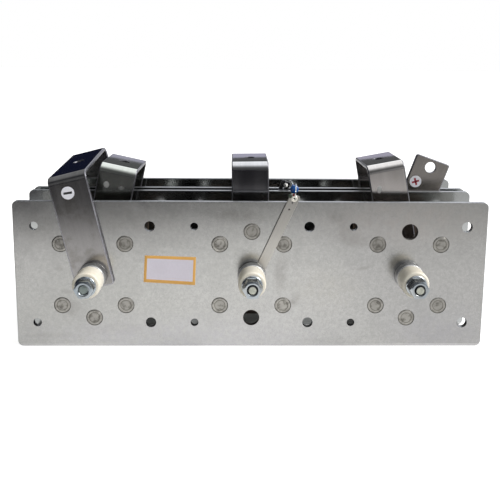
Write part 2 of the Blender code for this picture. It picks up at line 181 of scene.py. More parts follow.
# -------------------------------------------------------------- materials
def plate_material(name, stains, tone=(1.0, 1.0, 1.0), rough_span=(0.19, 0.25),
                   texture=1.0):
    m = Tree(name, 1.0, 0.26)

    def own(r, g, b):
        return (r * tone[0], g * tone[1], b * tone[2])
    large = m.noise(9.0, 3.0, 0.5)
    cloud = m.noise(48.0, 4.0, 0.6)
    rolled = m.noise(1.0, 3.0, 0.6, m.turned((40.0, 300.0, 500.0)))
    grain = m.noise(1100.0, 2.0, 0.7)
    mottle = m.noise(330.0, 3.0, 0.65)
    base = m.mix(m.span(large, 0.35, 0.65), own(0.424, 0.422, 0.408), own(0.450, 0.445, 0.438))
    base = m.mix(m.span(cloud, 0.45, 0.75, 0.0, 0.26 * texture), base, own(0.31, 0.31, 0.30))
    base = m.mix(m.span(mottle, 0.38, 0.64, 0.0, 0.40 * texture), base, own(0.33, 0.33, 0.325))
    base = m.mix(m.span(rolled, 0.3, 0.7, 0.0, 0.05), base, own(0.56, 0.56, 0.54))
    base = m.mix(m.span(grain, 0.30, 0.70, 0.0, 0.40 * texture), base, own(0.31, 0.31, 0.30))
    for x, z, wide, high, strength, lean, tone in stains:
        edge = m.noise(160.0, 3.0, 0.6)
        mask = m.math("MULTIPLY", m.spot(x, z, wide, high, 0.15, lean),
                      m.span(edge, 0.3, 0.65, 0.35, 1.0))
        base = m.mix(m.math("MULTIPLY", mask, strength), base, tone)
    m.colour(base)
    rough = m.noise(60.0, 4.0, 0.6)
    m.roughness(m.span(rough, 0.3, 0.7, *rough_span))
    m.bump(m.noise(5.0, 1.0, 0.4), 0.2 * texture, 0.0008)
    m.bump(grain, 0.06 * texture, 0.00003)
    return m.mat


def edge_material(name, tone, rough, low=1.0):
    """Sheared and eased edges with marks across the thickness. The factor low paints them
    paler where they come down to the plates, a painted highlight."""
    m = Tree(name, 1.0, rough)
    marks = m.noise(1.0, 2.0, 0.6, m.turned((900.0, 60.0, 900.0)))
    wide = m.noise(60.0, 3.0, 0.6)
    base = m.mix(m.span(marks, 0.3, 0.7), tuple(0.72 * t for t in tone), tone)
    base = m.mix(m.span(wide, 0.4, 0.7, 0.0, 0.35), base, tuple(0.6 * t for t in tone))
    # painted highlight: the edges are made paler by the factor low below the plates' tops
    if low != 1.0:
        height = m.node("ShaderNodeSeparateXYZ", (("Vector", m.coord),)).outputs["Z"]
        shade = m.span(height, 0.108, 0.134, low, 1.0)
        base = m.mix(1.0, base, m.node("ShaderNodeCombineColor", (
            ("Red", shade), ("Green", shade), ("Blue", shade))).outputs[0], "MULTIPLY")
    m.colour(base)
    m.roughness(m.span(marks, 0.2, 0.8, rough - 0.06, rough + 0.12))
    m.bump(marks, 0.3, 0.00008)
    return m.mat


def bar_material(name, lean, tone, rough, flat=1.0, leg=1.0, scuffs=(), foot_light=1.0, soil=0.0):
    """Bus bar: drawn along its length, so streaks follow leg and top. Faces that
    look up are smoother by the factor flat. The factor leg paints upright faces darker or paler
    (painted reflection), and the foot factor paints them paler where they come down to the plates
    (painted light). soil is handling marks."""
    m = Tree(name, 1.0, rough)
    turn = (0.0, lean, 0.0)
    streak = m.noise(1.0, 4.0, 0.65, m.turned((1300.0, 16.0, 16.0), turn))
    broad = m.noise(1.0, 3.0, 0.55, m.turned((90.0, 9.0, 9.0), turn))
    cloud = m.noise(40.0, 4.0, 0.6)
    grain = m.noise(1400.0, 2.0, 0.7)
    dark = tuple(0.94 * t for t in tone)
    pale = tuple(min(1.0, 1.06 * t) for t in tone)
    base = m.mix(m.span(broad, 0.3, 0.7), dark, pale)
    base = m.mix(m.span(streak, 0.3, 0.7, 0.0, 0.5), base, tuple(0.80 * t for t in tone))
    base = m.mix(m.span(cloud, 0.5, 0.75, 0.0, 0.25), base,
                 (0.78 * tone[0], 0.76 * tone[1], 0.72 * tone[2]))
    base = m.mix(m.span(grain, 0.25, 0.75, 0.0, 0.32), base, tuple(0.65 * t for t in tone))
    normal = m.node("ShaderNodeNewGeometry").outputs["Normal"]
    upward = m.node("ShaderNodeSeparateXYZ", (("Vector", normal),)).outputs["Z"]
    spread = m.math("MULTIPLY", m.span(broad, 0.25, 0.75, rough - 0.02, rough + 0.03),
                    m.span(upward, 0.90, 0.965, 1.0, flat))
    # painted reflection: upright faces made darker or paler by the factor leg
    shade = m.span(upward, 0.05, 0.30, leg, 1.0)
    base = m.mix(1.0, base, m.node("ShaderNodeCombineColor", (
        ("Red", shade), ("Green", shade), ("Blue", shade))).outputs[0], "MULTIPLY")
    place = m.node("ShaderNodeSeparateXYZ", (("Vector", m.coord),))
    # painted light: the legs' low ends made paler by the foot factor
    if foot_light != 1.0:
        shade = m.span(place.outputs["Z"], 0.119, 0.131, foot_light, 1.0)
        base = m.mix(1.0, base, m.node("ShaderNodeCombineColor", (
            ("Red", shade), ("Green", shade), ("Blue", shade))).outputs[0], "MULTIPLY")
    if soil:
        marks = m.noise(75.0, 4.0, 0.62)
        base = m.mix(m.span(marks, 0.46, 0.66, 0.0, soil), base,
                     (0.66 * tone[0], 0.645 * tone[1], 0.60 * tone[2]))
    outside = m.span(place.outputs["Y"], -0.012, -0.008, 1.0, 0.0)
    for x, z, wide, high, amount in scuffs:
        mark = m.math("MULTIPLY", m.math("MULTIPLY", m.spot(x, z, wide, high, 0.55), outside),
                      amount)
        base = m.mix(mark, base, (0.90, 0.90, 0.88))
        spread = m.math("ADD", spread, m.math("MULTIPLY", mark, 0.35))
    m.colour(base)
    m.roughness(spread)
    m.bump(streak, 0.05, 0.00004)
    return m.mat


def round_steel(name, tone, rough, stud_marks=1600.0):
    """Turned steel: fine rings round an axis along Y, with stains."""
    m = Tree(name, 1.0, rough)
    rings = m.noise(1.0, 2.0, 0.6, m.turned((8.0, stud_marks, 8.0)))
    cloud = m.noise(120.0, 3.0, 0.6)
    base = m.mix(m.span(rings, 0.3, 0.7), tuple(0.82 * t for t in tone), tone)
    base = m.mix(m.span(cloud, 0.45, 0.7, 0.0, 0.4), base, tuple(0.62 * t for t in tone))
    m.colour(base)
    m.roughness(m.span(cloud, 0.3, 0.7, rough - 0.05, rough + 0.08))
    m.bump(rings, 0.25, 0.00006)
    return m.mat


def zinc_material(name):
    m = Tree(name, 1.0, 0.16)
    cloud = m.noise(170.0, 3.0, 0.6)
    tint = m.noise(60.0, 2.0, 0.5)
    base = m.mix(m.span(tint, 0.35, 0.65), (0.315, 0.35, 0.38), (0.39, 0.41, 0.42))
    base = m.mix(m.span(cloud, 0.48, 0.72, 0.0, 0.45), base, (0.22, 0.24, 0.26))
    m.colour(base)
    m.roughness(m.span(cloud, 0.3, 0.7, 0.15, 0.27))
    m.bump(m.noise(480.0, 2.0, 0.6), 0.45, 0.0001)
    return m.mat


def thread_material(name, tone):
    m = Tree(name, 1.0, 0.30)
    cloud = m.noise(240.0, 3.0, 0.6)
    m.colour(m.mix(m.span(cloud, 0.35, 0.7), tone, tuple(0.46 * t for t in tone)))
    m.roughness(m.span(cloud, 0.3, 0.7, 0.24, 0.42))
    m.bump(m.noise(500.0, 2.0, 0.6), 0.15, 0.00006)
    return m.mat


def tip_material(name, tone):
    """Sawn end of a bolt: paler or darker than the plating."""
    m = Tree(name, 0.35, 0.45)
    cloud = m.noise(300.0, 3.0, 0.6)
    saw = m.noise(1.0, 2.0, 0.6, m.turned((300.0, 300.0, 1800.0), (0.0, 35.0, 0.0)))
    base = m.mix(m.span(cloud, 0.35, 0.7), tone, tuple(0.72 * t for t in tone))
    m.colour(m.mix(m.span(saw, 0.35, 0.7, 0.0, 0.3), base, tuple(0.6 * t for t in tone)))
    m.roughness(m.span(cloud, 0.3, 0.7, 0.36, 0.55))
    m.bump(saw, 0.25, 0.00006)
    return m.mat


def insulator_material(name):
    m = Tree(name, 0.0, 0.34)
    cloud = m.noise(70.0, 4.0, 0.6)
    fine = m.noise(900.0, 2.0, 0.6)
    along = m.noise(1.0, 2.0, 0.5, m.turned((40.0, 420.0, 40.0)))
    base = m.mix(m.span(cloud, 0.35, 0.7), (0.88, 0.84, 0.745), (0.80, 0.75, 0.63))
    base = m.mix(m.span(along, 0.5, 0.75, 0.0, 0.25), base, (0.66, 0.61, 0.49))
    m.colour(base)
    m.roughness(m.span(cloud, 0.3, 0.7, 0.28, 0.42))
    m.bump(fine, 0.12, 0.00005)
    m.bump(along, 0.08, 0.0001)
    return m.mat


def diode_material(name, level=1.0, stain=0.45):
    m = Tree(name, 1.0, 0.42)
    each = m.noise(23.0, 1.0, 0.4)
    cloud = m.noise(260.0, 3.0, 0.6)
    fine = m.noise(1500.0, 2.0, 0.7)
    base = m.mix(m.span(each, 0.35, 0.65), (0.320 * level, 0.310 * level, 0.288 * level),
                 (0.390 * level, 0.378 * level, 0.350 * level))
    base = m.mix(m.span(cloud, 0.45, 0.66, 0.0, stain), base, (0.115, 0.108, 0.095))
    base = m.mix(m.span(fine, 0.3, 0.75, 0.0, 0.25), base, (0.40, 0.38, 0.345))
    m.colour(base)
    m.roughness(m.span(cloud, 0.3, 0.7, 0.34, 0.52))
    m.bump(cloud, 0.25, 0.00012)
    m.bump(fine, 0.15, 0.00004)
    return m.mat


def copper_material(name):
    m = Tree(name, 1.0, 0.38)
    cloud = m.noise(45.0, 4.0, 0.6)
    rolled = m.noise(1.0, 3.0, 0.6, m.turned((20.0, 20.0, 900.0)))
    base = m.mix(m.span(cloud, 0.35, 0.7), (0.30, 0.24, 0.20), (0.20, 0.165, 0.14))
    base = m.mix(m.span(rolled, 0.3, 0.7, 0.0, 0.3), base, (0.36, 0.30, 0.26))
    m.colour(base)
    m.roughness(m.span(cloud, 0.3, 0.7, 0.32, 0.48))
    m.bump(rolled, 0.15, 0.00005)
    return m.mat


def glass_seal_material(name):
    m = Tree(name, 0.0, 0.22)
    cloud = m.noise(300.0, 3.0, 0.6)
    m.colour(m.mix(m.span(cloud, 0.3, 0.7), (0.045, 0.060, 0.055), (0.10, 0.115, 0.10)))
    m.roughness(m.span(cloud, 0.3, 0.7, 0.16, 0.30))
    m.bump(cloud, 0.1, 0.0001)
    return m.mat


def lacquer_material(name):
    m = Tree(name, 0.0, 0.20, Coat_Weight=0.6, Coat_Roughness=0.08)
    cloud = m.noise(420.0, 3.0, 0.6)
    m.colour(m.mix(m.span(cloud, 0.35, 0.7), (0.010, 0.125, 0.46), (0.006, 0.050, 0.22)))
    m.roughness(m.span(cloud, 0.3, 0.7, 0.16, 0.30))
    m.bump(cloud, 0.35, 0.0002)
    return m.mat


def solder_material(name, tone):
    m = Tree(name, 0.55, 0.34)
    cloud = m.noise(520.0, 3.0, 0.6)
    m.colour(m.mix(m.span(cloud, 0.35, 0.72), tone, tuple(0.78 * t for t in tone)))
    m.roughness(m.span(cloud, 0.3, 0.7, 0.26, 0.46))
    m.bump(cloud, 0.4, 0.0003)
    return m.mat


def wire_material(name):
    m = Tree(name, 1.0, 0.22)
    cloud = m.noise(500.0, 2.0, 0.6)
    m.colour(m.mix(m.span(cloud, 0.35, 0.7), (0.56, 0.60, 0.60), (0.42, 0.44, 0.43)))
    m.roughness(m.span(cloud, 0.3, 0.7, 0.16, 0.32))
    m.bump(cloud, 0.15, 0.0001)
    return m.mat


def paper_material(name, tone, worn=0.10, rough=0.55):
    m = Tree(name, 0.0, rough)
    fibre = m.noise(1.0, 4.0, 0.65, m.turned((700.0, 700.0, 420.0)))
    cloud = m.noise(70.0, 3.0, 0.6)
    base = m.mix(m.span(cloud, 0.4, 0.75, 0.0, worn), tone, tuple(0.55 * t for t in tone))
    base = m.mix(m.span(fibre, 0.35, 0.7, 0.0, 0.10), base, tuple(0.7 * t for t in tone))
    m.colour(base)
    m.roughness(m.span(fibre, 0.3, 0.7, rough - 0.08, rough + 0.10))
    m.bump(fibre, 0.12, 0.00004)
    return m.mat


def floor_material(name):
    """White paper that glows a little, so soft shadows stay faint."""
    m = Tree(name, 0.0, 0.85, Specular_IOR_Level=0.1)
    cloud = m.noise(3.0, 2.0, 0.5)
    m.colour(m.mix(m.span(cloud, 0.3, 0.7), (0.50, 0.50, 0.50), (0.515, 0.515, 0.51)))
    path = m.tree.nodes.new("ShaderNodeLightPath")
    parts = m.node("ShaderNodeSeparateXYZ", ((0, m.coord),))
    # no glow under the stack, where the plates shade the paper
    wide = m.span(m.math("ABSOLUTE", parts.outputs["X"]), 0.181, 0.184)
    deep = m.span(m.math("ABSOLUTE", m.math("SUBTRACT", parts.outputs["Y"], 0.0122)),
                  0.0472, 0.0500)
    # a little light falls between the plates where no contact sheet hangs
    bay = m.span(m.math("ABSOLUTE", m.math("SUBTRACT", m.math("ABSOLUTE", parts.outputs["X"]),
                                           0.062)), 0.014, 0.020, 0.30, 0.0)
    clear = m.math("MAXIMUM", m.math("MAXIMUM", wide, deep), bay)
    glow = m.math("MULTIPLY_ADD", path.outputs["Is Diffuse Ray"], -0.80, 0.88)
    m.bsdf.inputs["Emission Color"].default_value = (1.0, 1.0, 1.0, 1.0)
    m.tree.links.new(m.math("MULTIPLY", glow, clear), m.bsdf.inputs["Emission Strength"])
    return m.mat


# --------------------------------------------------------- building meshes
def piece(name, bm, mats, stands_for=(), angle=34.0):
    """Mesh to object: soft shading inside each finish, sharp between them."""
    bmesh.ops.recalc_face_normals(bm, faces=bm.faces[:])
    limit = math.radians(angle)
    for f in bm.faces:
        f.smooth = True
    for e in bm.edges:
        if len(e.link_faces) == 2:
            f, g = e.link_faces
            e.smooth = (f.material_index == g.material_index
                        and e.calc_face_angle(0.0) < limit)
    mesh = bpy.data.meshes.new(name)
    bm.to_mesh(mesh)
    bm.free()
    for mat in mats:
        mesh.materials.append(mat)
    obj = bpy.data.objects.new(name, mesh)
    bpy.context.scene.collection.objects.link(obj)
    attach(obj, "root")
    if stands_for:
        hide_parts(*stands_for)
    return obj


def round_loop(cx, cy, radius, count, turn=0.0):
    return [(cx + radius * math.cos(turn + 2.0 * math.pi * i / count),
             cy + radius * math.sin(turn + 2.0 * math.pi * i / count))
            for i in range(count)]


def rectangle(x0, y0, x1, y1, radius, count):
    """Outline as a function of how far it is drawn in."""
    def at(inset):
        r = max(radius - inset, 0.05)
        out = []
        for cx, cy, start in ((x1 - radius, y1 - radius, 0.0),
                              (x0 + radius, y1 - radius, 90.0),
                              (x0 + radius, y0 + radius, 180.0),
                              (x1 - radius, y0 + radius, 270.0)):
            for i in range(count + 1):
                a = math.radians(start + 90.0 * i / count)
                out.append((cx + r * math.cos(a), cy + r * math.sin(a)))
        return out
    return at


def drawn_in(points):
    """The same for a plain closed outline, moved along its normals."""
    n = len(points)
    area = sum(points[i][0] * points[(i + 1) % n][1]
               - points[(i + 1) % n][0] * points[i][1] for i in range(n))
    side = 1.0 if area > 0 else -1.0

    def at(inset):
        out = []
        for i, (x, y) in enumerate(points):
            ax, ay = points[i - 1]
            bx, by = points[(i + 1) % n]
            ux, uy = x - ax, y - ay
            vx, vy = bx - x, by - y
            lu, lv = math.hypot(ux, uy), math.hypot(vx, vy)
            nx = -side * (uy / lu + vy / lv) * -1.0
            ny = -side * (ux / lu + vx / lv)
            ln = math.hypot(nx, ny)
            nx, ny = nx / ln, ny / ln
            corner = max(0.5, abs(nx * side * uy / lu - ny * side * ux / lu))
            out.append((x - nx * inset / corner, y - ny * inset / corner))
        return out
    return at


def eased(ease, steps, thickness, inset_more=0.0):
    """Rows (inset, height) from one face round the edge to the other."""
    rows = []
    for i in range(steps + 1):
        a = 0.5 * math.pi * i / steps
        rows.append((ease * (1.0 - math.sin(a)), ease * (1.0 - math.cos(a))))
    if steps == 1:
        rows = [(ease, 0.0), (0.0, ease)]
    if inset_more:
        rows.insert(0, (ease + inset_more, 0.0))
    return rows + [(inset, thickness - z) for inset, z in reversed(rows)]


def slab(outline, holes, thickness, ease=0.3, steps=1, soft=0.0, rim=1, hole_ease=0.35):
    """Flat piece, z from 0 to the thickness, with eased edges.

    Finish 0 is on the two faces, `rim` on the outer edge, and each hole's
    own number (1 unless given) on its wall.
    """
    bm = bmesh.new()
    loops = []
    shapes = [(outline, eased(ease, steps, thickness, soft), rim)]
    for h in holes:
        cut = eased(min(ease, hole_ease), min(steps, 2), thickness, 0.3 if soft else 0.0)
        shapes.append((lambda inset, h=h: round_loop(h[0], h[1], h[2] + inset, h[3]),
                       cut, h[4] if len(h) > 4 else 1))
    for shape, profile, finish in shapes:
        rows = [[bm.verts.new((x, y, z)) for x, y in shape(inset)]
                for inset, z in profile]
        last = len(rows) - 2
        for k, (a, b) in enumerate(zip(rows[:-1], rows[1:])):
            flat = soft and k in (0, last)
            for i in range(len(a)):
                j = (i + 1) % len(a)
                bm.faces.new((a[i], a[j], b[j], b[i])).material_index = 0 if flat else finish
        loops.append(rows)
    for level in (0, -1):
        edges = []
        for rows in loops:
            row = rows[level]
            edges += [bm.edges.get((v, row[(i + 1) % len(row)]))
                      for i, v in enumerate(row)]
        made = bmesh.ops.triangle_fill(bm, use_beauty=True, use_dissolve=False,
                                       edges=edges, normal=(0.0, 0.0, 1.0))
        for g in made["geom"]:
            if isinstance(g, bmesh.types.BMFace):
                g.material_index = 0
    return bm


def cut_across(bm, stations):
    for s in stations:
        bmesh.ops.bisect_plane(bm, geom=bm.verts[:] + bm.edges[:] + bm.faces[:],
                               plane_co=(0.0, s, 0.0), plane_no=(0.0, 1.0, 0.0),
                               dist=1e-5)


def leaning(stud_x, lean, w, r):
    a = math.radians(lean)
    return (stud_x + r * math.sin(a) + w * math.cos(a),
            STUD_Z + r * math.cos(a) - w * math.sin(a))


def loft(bm, rows, closed, index=0, caps=True):
    """Skins rows of points. A row of one point closes the end."""
    made = [[bm.verts.new(p) for p in row] for row in rows]
    pairs = list(zip(made[:-1], made[1:]))
    if closed:
        pairs.append((made[-1], made[0]))
    for k, (a, b) in enumerate(pairs):
        n = max(len(a), len(b))
        mark = index[k] if isinstance(index, (list, tuple)) else index
        for i in range(n):
            j = (i + 1) % n
            quad = []
            for v in (a[i % len(a)], a[j % len(a)], b[j % len(b)], b[i % len(b)]):
                if v not in quad:
                    quad.append(v)
            if len(quad) > 2:
                bm.faces.new(quad).material_index = mark
    if not closed and caps:
        for row in (made[0], made[-1]):
            if len(row) > 2:
                bm.faces.new(row)
    return bm


def ring(cx, cz, radius, depth, seg):
    """Ring of points about an axis along Y. Radius and depth may be functions
    of the angle, and a radius of 0 gives one point."""
    if not callable(radius) and radius < 1e-6:
        return [P(cx, depth, cz)]
    out = []
    for i in range(seg):
        a = 2.0 * math.pi * i / seg
        r = radius(a) if callable(radius) else radius
        d = depth(a) if callable(depth) else depth
        out.append(P(cx + r * math.sin(a), d, cz + r * math.cos(a)))
    return out


def lathe(cx, cz, profile, seg, closed=True, index=0, bm=None):
    bm = bm or bmesh.new()
    return loft(bm, [ring(cx, cz, r, d, seg) for r, d in profile], closed, index)


def corner(r, d, dr, dd, ease, steps=3):
    """Quarter round from (r, d) going in by dr and on by dd."""
    out = []
    for i in range(steps + 1):
        a = 0.5 * math.pi * i / steps
        out.append((r + dr * ease * (1.0 - math.sin(a)),
                    d + dd * ease * (1.0 - math.cos(a))))
    return out


def sleeve_profile(outer, bore, d0, d1, ease, bore_ease=0.4, steps=3):
    """Closed profile: front rim, outside, rear rim, bore."""
    ro, ri = 0.5 * outer, 0.5 * bore
    out = corner(ro, d0, -1.0, 1.0, ease, steps)
    out += list(reversed(corner(ro, d1, -1.0, -1.0, ease, steps)))
    out += [(ri + bore_ease, d1), (ri, d1 - bore_ease),
            (ri, d0 + bore_ease), (ri + bore_ease, d0)]
    return out


def tube(bm, points, diameter, count=12, index=0, caps=True):
    """Round wire along a smooth line of points given in metres."""
    rows = []
    previous = None
    for i, p in enumerate(points):
        a = points[max(i - 1, 0)]
        b = points[min(i + 1, len(points) - 1)]
        axis = (b - a).normalized()
        if previous is None:
            side = axis.orthogonal().normalized()
        else:
            side = (previous - axis * previous.dot(axis)).normalized()
        previous = side
        up = axis.cross(side)
        rows.append([p + (side * math.cos(2.0 * math.pi * k / count)
                          + up * math.sin(2.0 * math.pi * k / count))
                     * 0.5 * diameter * MM for k in range(count)])
    return loft(bm, rows, False, index, caps)


def smooth_path(points, per=6):
    """Catmull-Rom line through the points."""
    out = []
    n = len(points)
    for i in range(n - 1):
        p0, p1 = points[max(i - 1, 0)], points[i]
        p2, p3 = points[i + 1], points[min(i + 2, n - 1)]
        for k in range(per):
            t = k / per
            out.append(0.5 * ((2.0 * p1) + (p2 - p0) * t
                              + (2.0 * p0 - 5.0 * p1 + 4.0 * p2 - p3) * t * t
                              + (3.0 * p1 - p0 - 3.0 * p2 + p3) * t ** 3))
    out.append(points[-1])
    return out


# ------------------------------------------------------------ the finishes
FRONT_STAINS = (
    (-12.0, 107.0, 34.0, 8.0, 0.42, 4.0, (0.20, 0.19, 0.18)),
    (66.0, 106.0, 8.0, 7.0, 0.55, 0.0, (0.20, 0.19, 0.18)),
    (75.0, 94.0, 10.0, 14.0, 0.44, -15.0, (0.22, 0.21, 0.20)),
    (84.0, 87.0, 16.0, 9.0, 0.36, 10.0, (0.22, 0.21, 0.20)),
    (23.0, 60.0, 8.0, 22.0, 0.44, 3.0, (0.22, 0.21, 0.20)),
    (-100.0, 14.0, 46.0, 9.0, 0.22, 0.0, (0.24, 0.23, 0.22)),
    (-160.0, 9.0, 30.0, 3.0, 0.34, 0.0, (0.24, 0.23, 0.22)),
    (-141.8, 31.5, 9.0, 10.0, 0.42, 0.0, (0.22, 0.21, 0.20)),
    (-145.0, 45.0, 7.0, 3.0, 0.40, 10.0, (0.22, 0.21, 0.20)),
    (-150.0, 64.0, 4.0, 3.0, 0.35, 0.0, (0.24, 0.23, 0.22)),
    (46.0, 52.0, 3.0, 6.0, 0.25, -20.0, (0.24, 0.23, 0.22)),
    (34.0, 38.0, 5.0, 9.0, 0.50, 25.0, (0.20, 0.19, 0.18)),
    (89.0, 65.0, 10.0, 2.2, 0.45, -12.0, (0.26, 0.25, 0.24)),
    (-95.0, 104.0, 60.0, 16.0, 0.26, 0.0, (0.26, 0.25, 0.23)),
    (-165.0, 96.0, 22.0, 20.0, 0.28, 0.0, (0.27, 0.26, 0.24)),
    (150.0, 12.0, 40.0, 12.0, 0.18, 0.0, (0.28, 0.27, 0.27)),
    (60.0, 48.0, 40.0, 26.0, 0.14, 0.0, (0.52, 0.49, 0.42)),
    (120.0, 104.0, 90.0, 30.0, 0.45, 0.0, (0.425, 0.395, 0.372)),
    (-60.0, 4.0, 170.0, 30.0, 0.50, 0.0, (0.405, 0.400, 0.425)),
    (150.0, 10.0, 60.0, 34.0, 0.45, 0.0, (0.395, 0.392, 0.415)),
)
PLATE_FRONT = plate_material("plate_face_worn", FRONT_STAINS)
PLATE_MAT = plate_material("plate_face", (), (1.12, 1.16, 1.18), (0.11, 0.16), 0.35)
PLATE_EDGE = edge_material("plate_edge", (0.30, 0.305, 0.315), 0.40)
DIODE_BORE = edge_material("diode_bore", (0.30, 0.29, 0.265), 0.45)
# painted shade: a darker copy of the plate edge finish on the spare hole walls, so the holes look
# dark
BORE_SHADED = edge_material("bore_wall_shaded", (0.17, 0.16, 0.145), 0.45)
# painted highlight: bar edges 2.3 times paler low down, near the plates' tops
BAR_EDGE_PAINTED_SHEEN = edge_material("bar_edge_painted_sheen", (0.17, 0.167, 0.182), 0.34, 2.3)
LUG_EDGE = edge_material("lug_edge", (0.50, 0.48, 0.45), 0.40)
ZINC = zinc_material("zinc")
# painted shade: a dark copy of the thread finish for the shade in the nut bores; THREAD_PALE is a
# lighter copy used on nut 1
SHADED_THREAD = thread_material("thread", (0.13, 0.135, 0.14))
THREAD_PALE = thread_material("thread_pale", (0.34, 0.37, 0.38))
COLLAR = round_steel("collar_steel", (0.50, 0.50, 0.50), 0.46)
TIP_PALE = tip_material("bolt_end_pale", (0.62, 0.64, 0.56))
TIP_DARK = tip_material("bolt_end_dark", (0.27, 0.32, 0.31))
INSULATOR = insulator_material("cream_insulator")
DIODE = diode_material("diode_case")
SEAL = glass_seal_material("diode_seal")
COPPER = copper_material("collector")
KNURL = round_steel("diode_knurl", (0.20, 0.19, 0.165), 0.5, 400.0)
POCKET = diode_material("diode_pocket", 0.90, 0.85)
COPPER_EDGE = edge_material("collector_edge", (0.36, 0.28, 0.22), 0.40)
LACQUER = lacquer_material("varistor_lacquer")
WIRE = wire_material("tinned_wire")
SOLDER = solder_material("solder", (0.86, 0.85, 0.82))
SOLDER_CREAM = solder_material("solder_flux", (0.90, 0.87, 0.78))
RED_DAB = paper_material("red_dab", (0.20, 0.012, 0.016), 0.3, 0.4)
GREEN_DAB = paper_material("green_dab", (0.030, 0.045, 0.028), 0.3, 0.4)
STICKER = paper_material("sticker", (0.86, 0.87, 0.94), 0.10, 0.42)
INK_AND_HOLE_SHADE = paper_material("ink_black_and_hole_shade", (0.014, 0.014, 0.016), 0.05, 0.5)
INK_RED = paper_material("ink_red", (0.36, 0.008, 0.030), 0.05, 0.45)
LABEL = paper_material("label_field", (0.80, 0.765, 0.86), 0.07, 0.5)
LABEL_EDGE = paper_material("label_border", (0.86, 0.47, 0.12), 0.12, 0.5)

# ------------------------------------------------------------------ plates
plate_holes = []
for x, side in zip(STUD_X, FIFTH):
    plate_holes.append((x, STUD_Z, 0.5 * STUD_HOLE, 40))
    for sx in (-1, 1):
        for sz in (-1, 1):
            plate_holes.append((x + sx * DIODE_OFFSET, STUD_Z + sz * DIODE_OFFSET,
                                0.5 * DIODE_HOLE, 48, 3))
    plate_holes.append((x, STUD_Z + side * DIODE_RING, 0.5 * DIODE_HOLE, 48, 3))
    # spare holes take finish 2, the dark walls of painted shade
    plate_holes.append((x, STUD_Z - side * DIODE_RING, 0.5 * SPARE_HOLE, 48, 2))
for x, diameter in ROW_HOLES:
    for sz in (-1, 1):
        plate_holes.append((x, STUD_Z + sz * ROW_Z, 0.5 * diameter, 36))

for number, depth in enumerate(PLATE_D, 1):
    bm = slab(rectangle(-0.5 * PLATE_W, 0.0, 0.5 * PLATE_W, PLATE_H, PLATE_R, 10),
              plate_holes, PLATE_T, 0.5, 3, hole_ease=0.18)
    for v in bm.verts:
        v.co = P(v.co.x, depth + v.co.z, v.co.y)
    piece("plate_%d" % number, bm,
          [PLATE_FRONT if number == 1 else PLATE_MAT, PLATE_EDGE, BORE_SHADED, DIODE_BORE],
          ["heatsink_plate_%d" % number])

# ------------------------------------------------------- collector plates
for i, x in enumerate(STUD_X):
    for tag, depth in zip(("front", "rear"), COLL_D):
        bm = slab(rectangle(x - 0.5 * COLL_W, STUD_Z - 0.5 * COLL_H,
                            x + 0.5 * COLL_W, STUD_Z + 0.5 * COLL_H, 4.0, 5),
                  [(x, STUD_Z, 0.5 * BAR_HOLE, 32)], COLL_T, 0.2)
        for v in bm.verts:
            v.co = P(v.co.x, depth + v.co.z, v.co.y)
        piece("collector_%d_%s" % (i + 1, tag), bm, [COPPER, COPPER_EDGE],
              ["ac%d_collector_%s" % (i + 1, tag)])


# ---------------------------------------------------------------- bus bars
def bent_bar(name, node, stud_x, leans, rises, leg_front, leg_rear, top_hole, mat,
             tilt=0.0):
    """U-shaped bar folded from one flat strip.

    tilt leans the front leg's face a little about its bend, in degrees.
    """
    rise = rises[0]
    mean_lean = 0.5 * (leans[0] + leans[1])
    d0 = leg_front + 0.5 * BAR_T
    d1 = leg_rear + 0.5 * BAR_T
    leg = rise - 0.5 * BAR_T - BAR_R + BAR_END
    rear_leg = leg + rises[1] - rises[0]
    arc = 0.5 * math.pi * BAR_R
    top = (d1 - d0) - 2.0 * BAR_R
    middle = leg + arc + 0.5 * top
    length = leg + rear_leg + 2.0 * arc + top
    half = 0.5 * BAR_W
    bm = slab(rectangle(-half, 0.0, half, length, 2.2, 5),
              [(0.0, BAR_END, 0.5 * BAR_HOLE, 32), (0.0, middle, 0.5 * top_hole, 40),
               (0.0, length - BAR_END, 0.5 * BAR_HOLE, 32)], BAR_T, 0.9, 4, 0.4)
    bend = 12
    stations = []
    for start in (leg, leg + arc + top):
        stations += [start - 0.25, start + arc + 0.25]
        stations += [start + arc * i / bend for i in range(bend + 1)]
    cut_across(bm, stations)
    for v in bm.verts:
        w, s, t = v.co.x, v.co.y, v.co.z - 0.5 * BAR_T
        if s <= leg:
            r, d, nr, nd = -BAR_END + s, d0, 0.0, -1.0
            lift = leg - s
            d += math.tan(math.radians(tilt)) * min(lift, 24.0)
        elif s <= leg + arc:
            a = (s - leg) / BAR_R
            r = rise - 0.5 * BAR_T - BAR_R + BAR_R * math.sin(a)
            d = d0 + BAR_R - BAR_R * math.cos(a)
            nr, nd = math.sin(a), -math.cos(a)
        elif s <= leg + arc + top:
            r, d, nr, nd = rise - 0.5 * BAR_T, d0 + BAR_R + (s - leg - arc), 1.0, 0.0
        elif s <= leg + 2.0 * arc + top:
            a = (s - leg - arc - top) / BAR_R
            r = rise - 0.5 * BAR_T - BAR_R + BAR_R * math.cos(a)
            d = d1 - BAR_R + BAR_R * math.sin(a)
            nr, nd = math.cos(a), math.sin(a)
        else:
            r = rise - 0.5 * BAR_T - BAR_R - (s - leg - 2.0 * arc - top)
            d, nr, nd = d1, 0.0, 1.0
        r += t * nr
        d += t * nd
        f = min(max((s - leg - arc) / top, 0.0), 1.0)
        turn = max(min((s - leg) / arc, (length - rear_leg - s) / arc, 1.0), 0.0)
        own = leans[0] if s < middle else leans[1]
        across = math.radians(own + turn * (mean_lean - own))
        front = leaning(stud_x, leans[0], 0.0, r)
        rear = leaning(stud_x, leans[1], 0.0, r + rises[1] - rises[0])
        v.co = P(front[0] + f * (rear[0] - front[0]) + w * math.cos(across), d,
                 front[1] + f * (rear[1] - front[1]) - w * math.sin(across))
    return piece(name, bm, [mat, BAR_EDGE_PAINTED_SHEEN], [node])


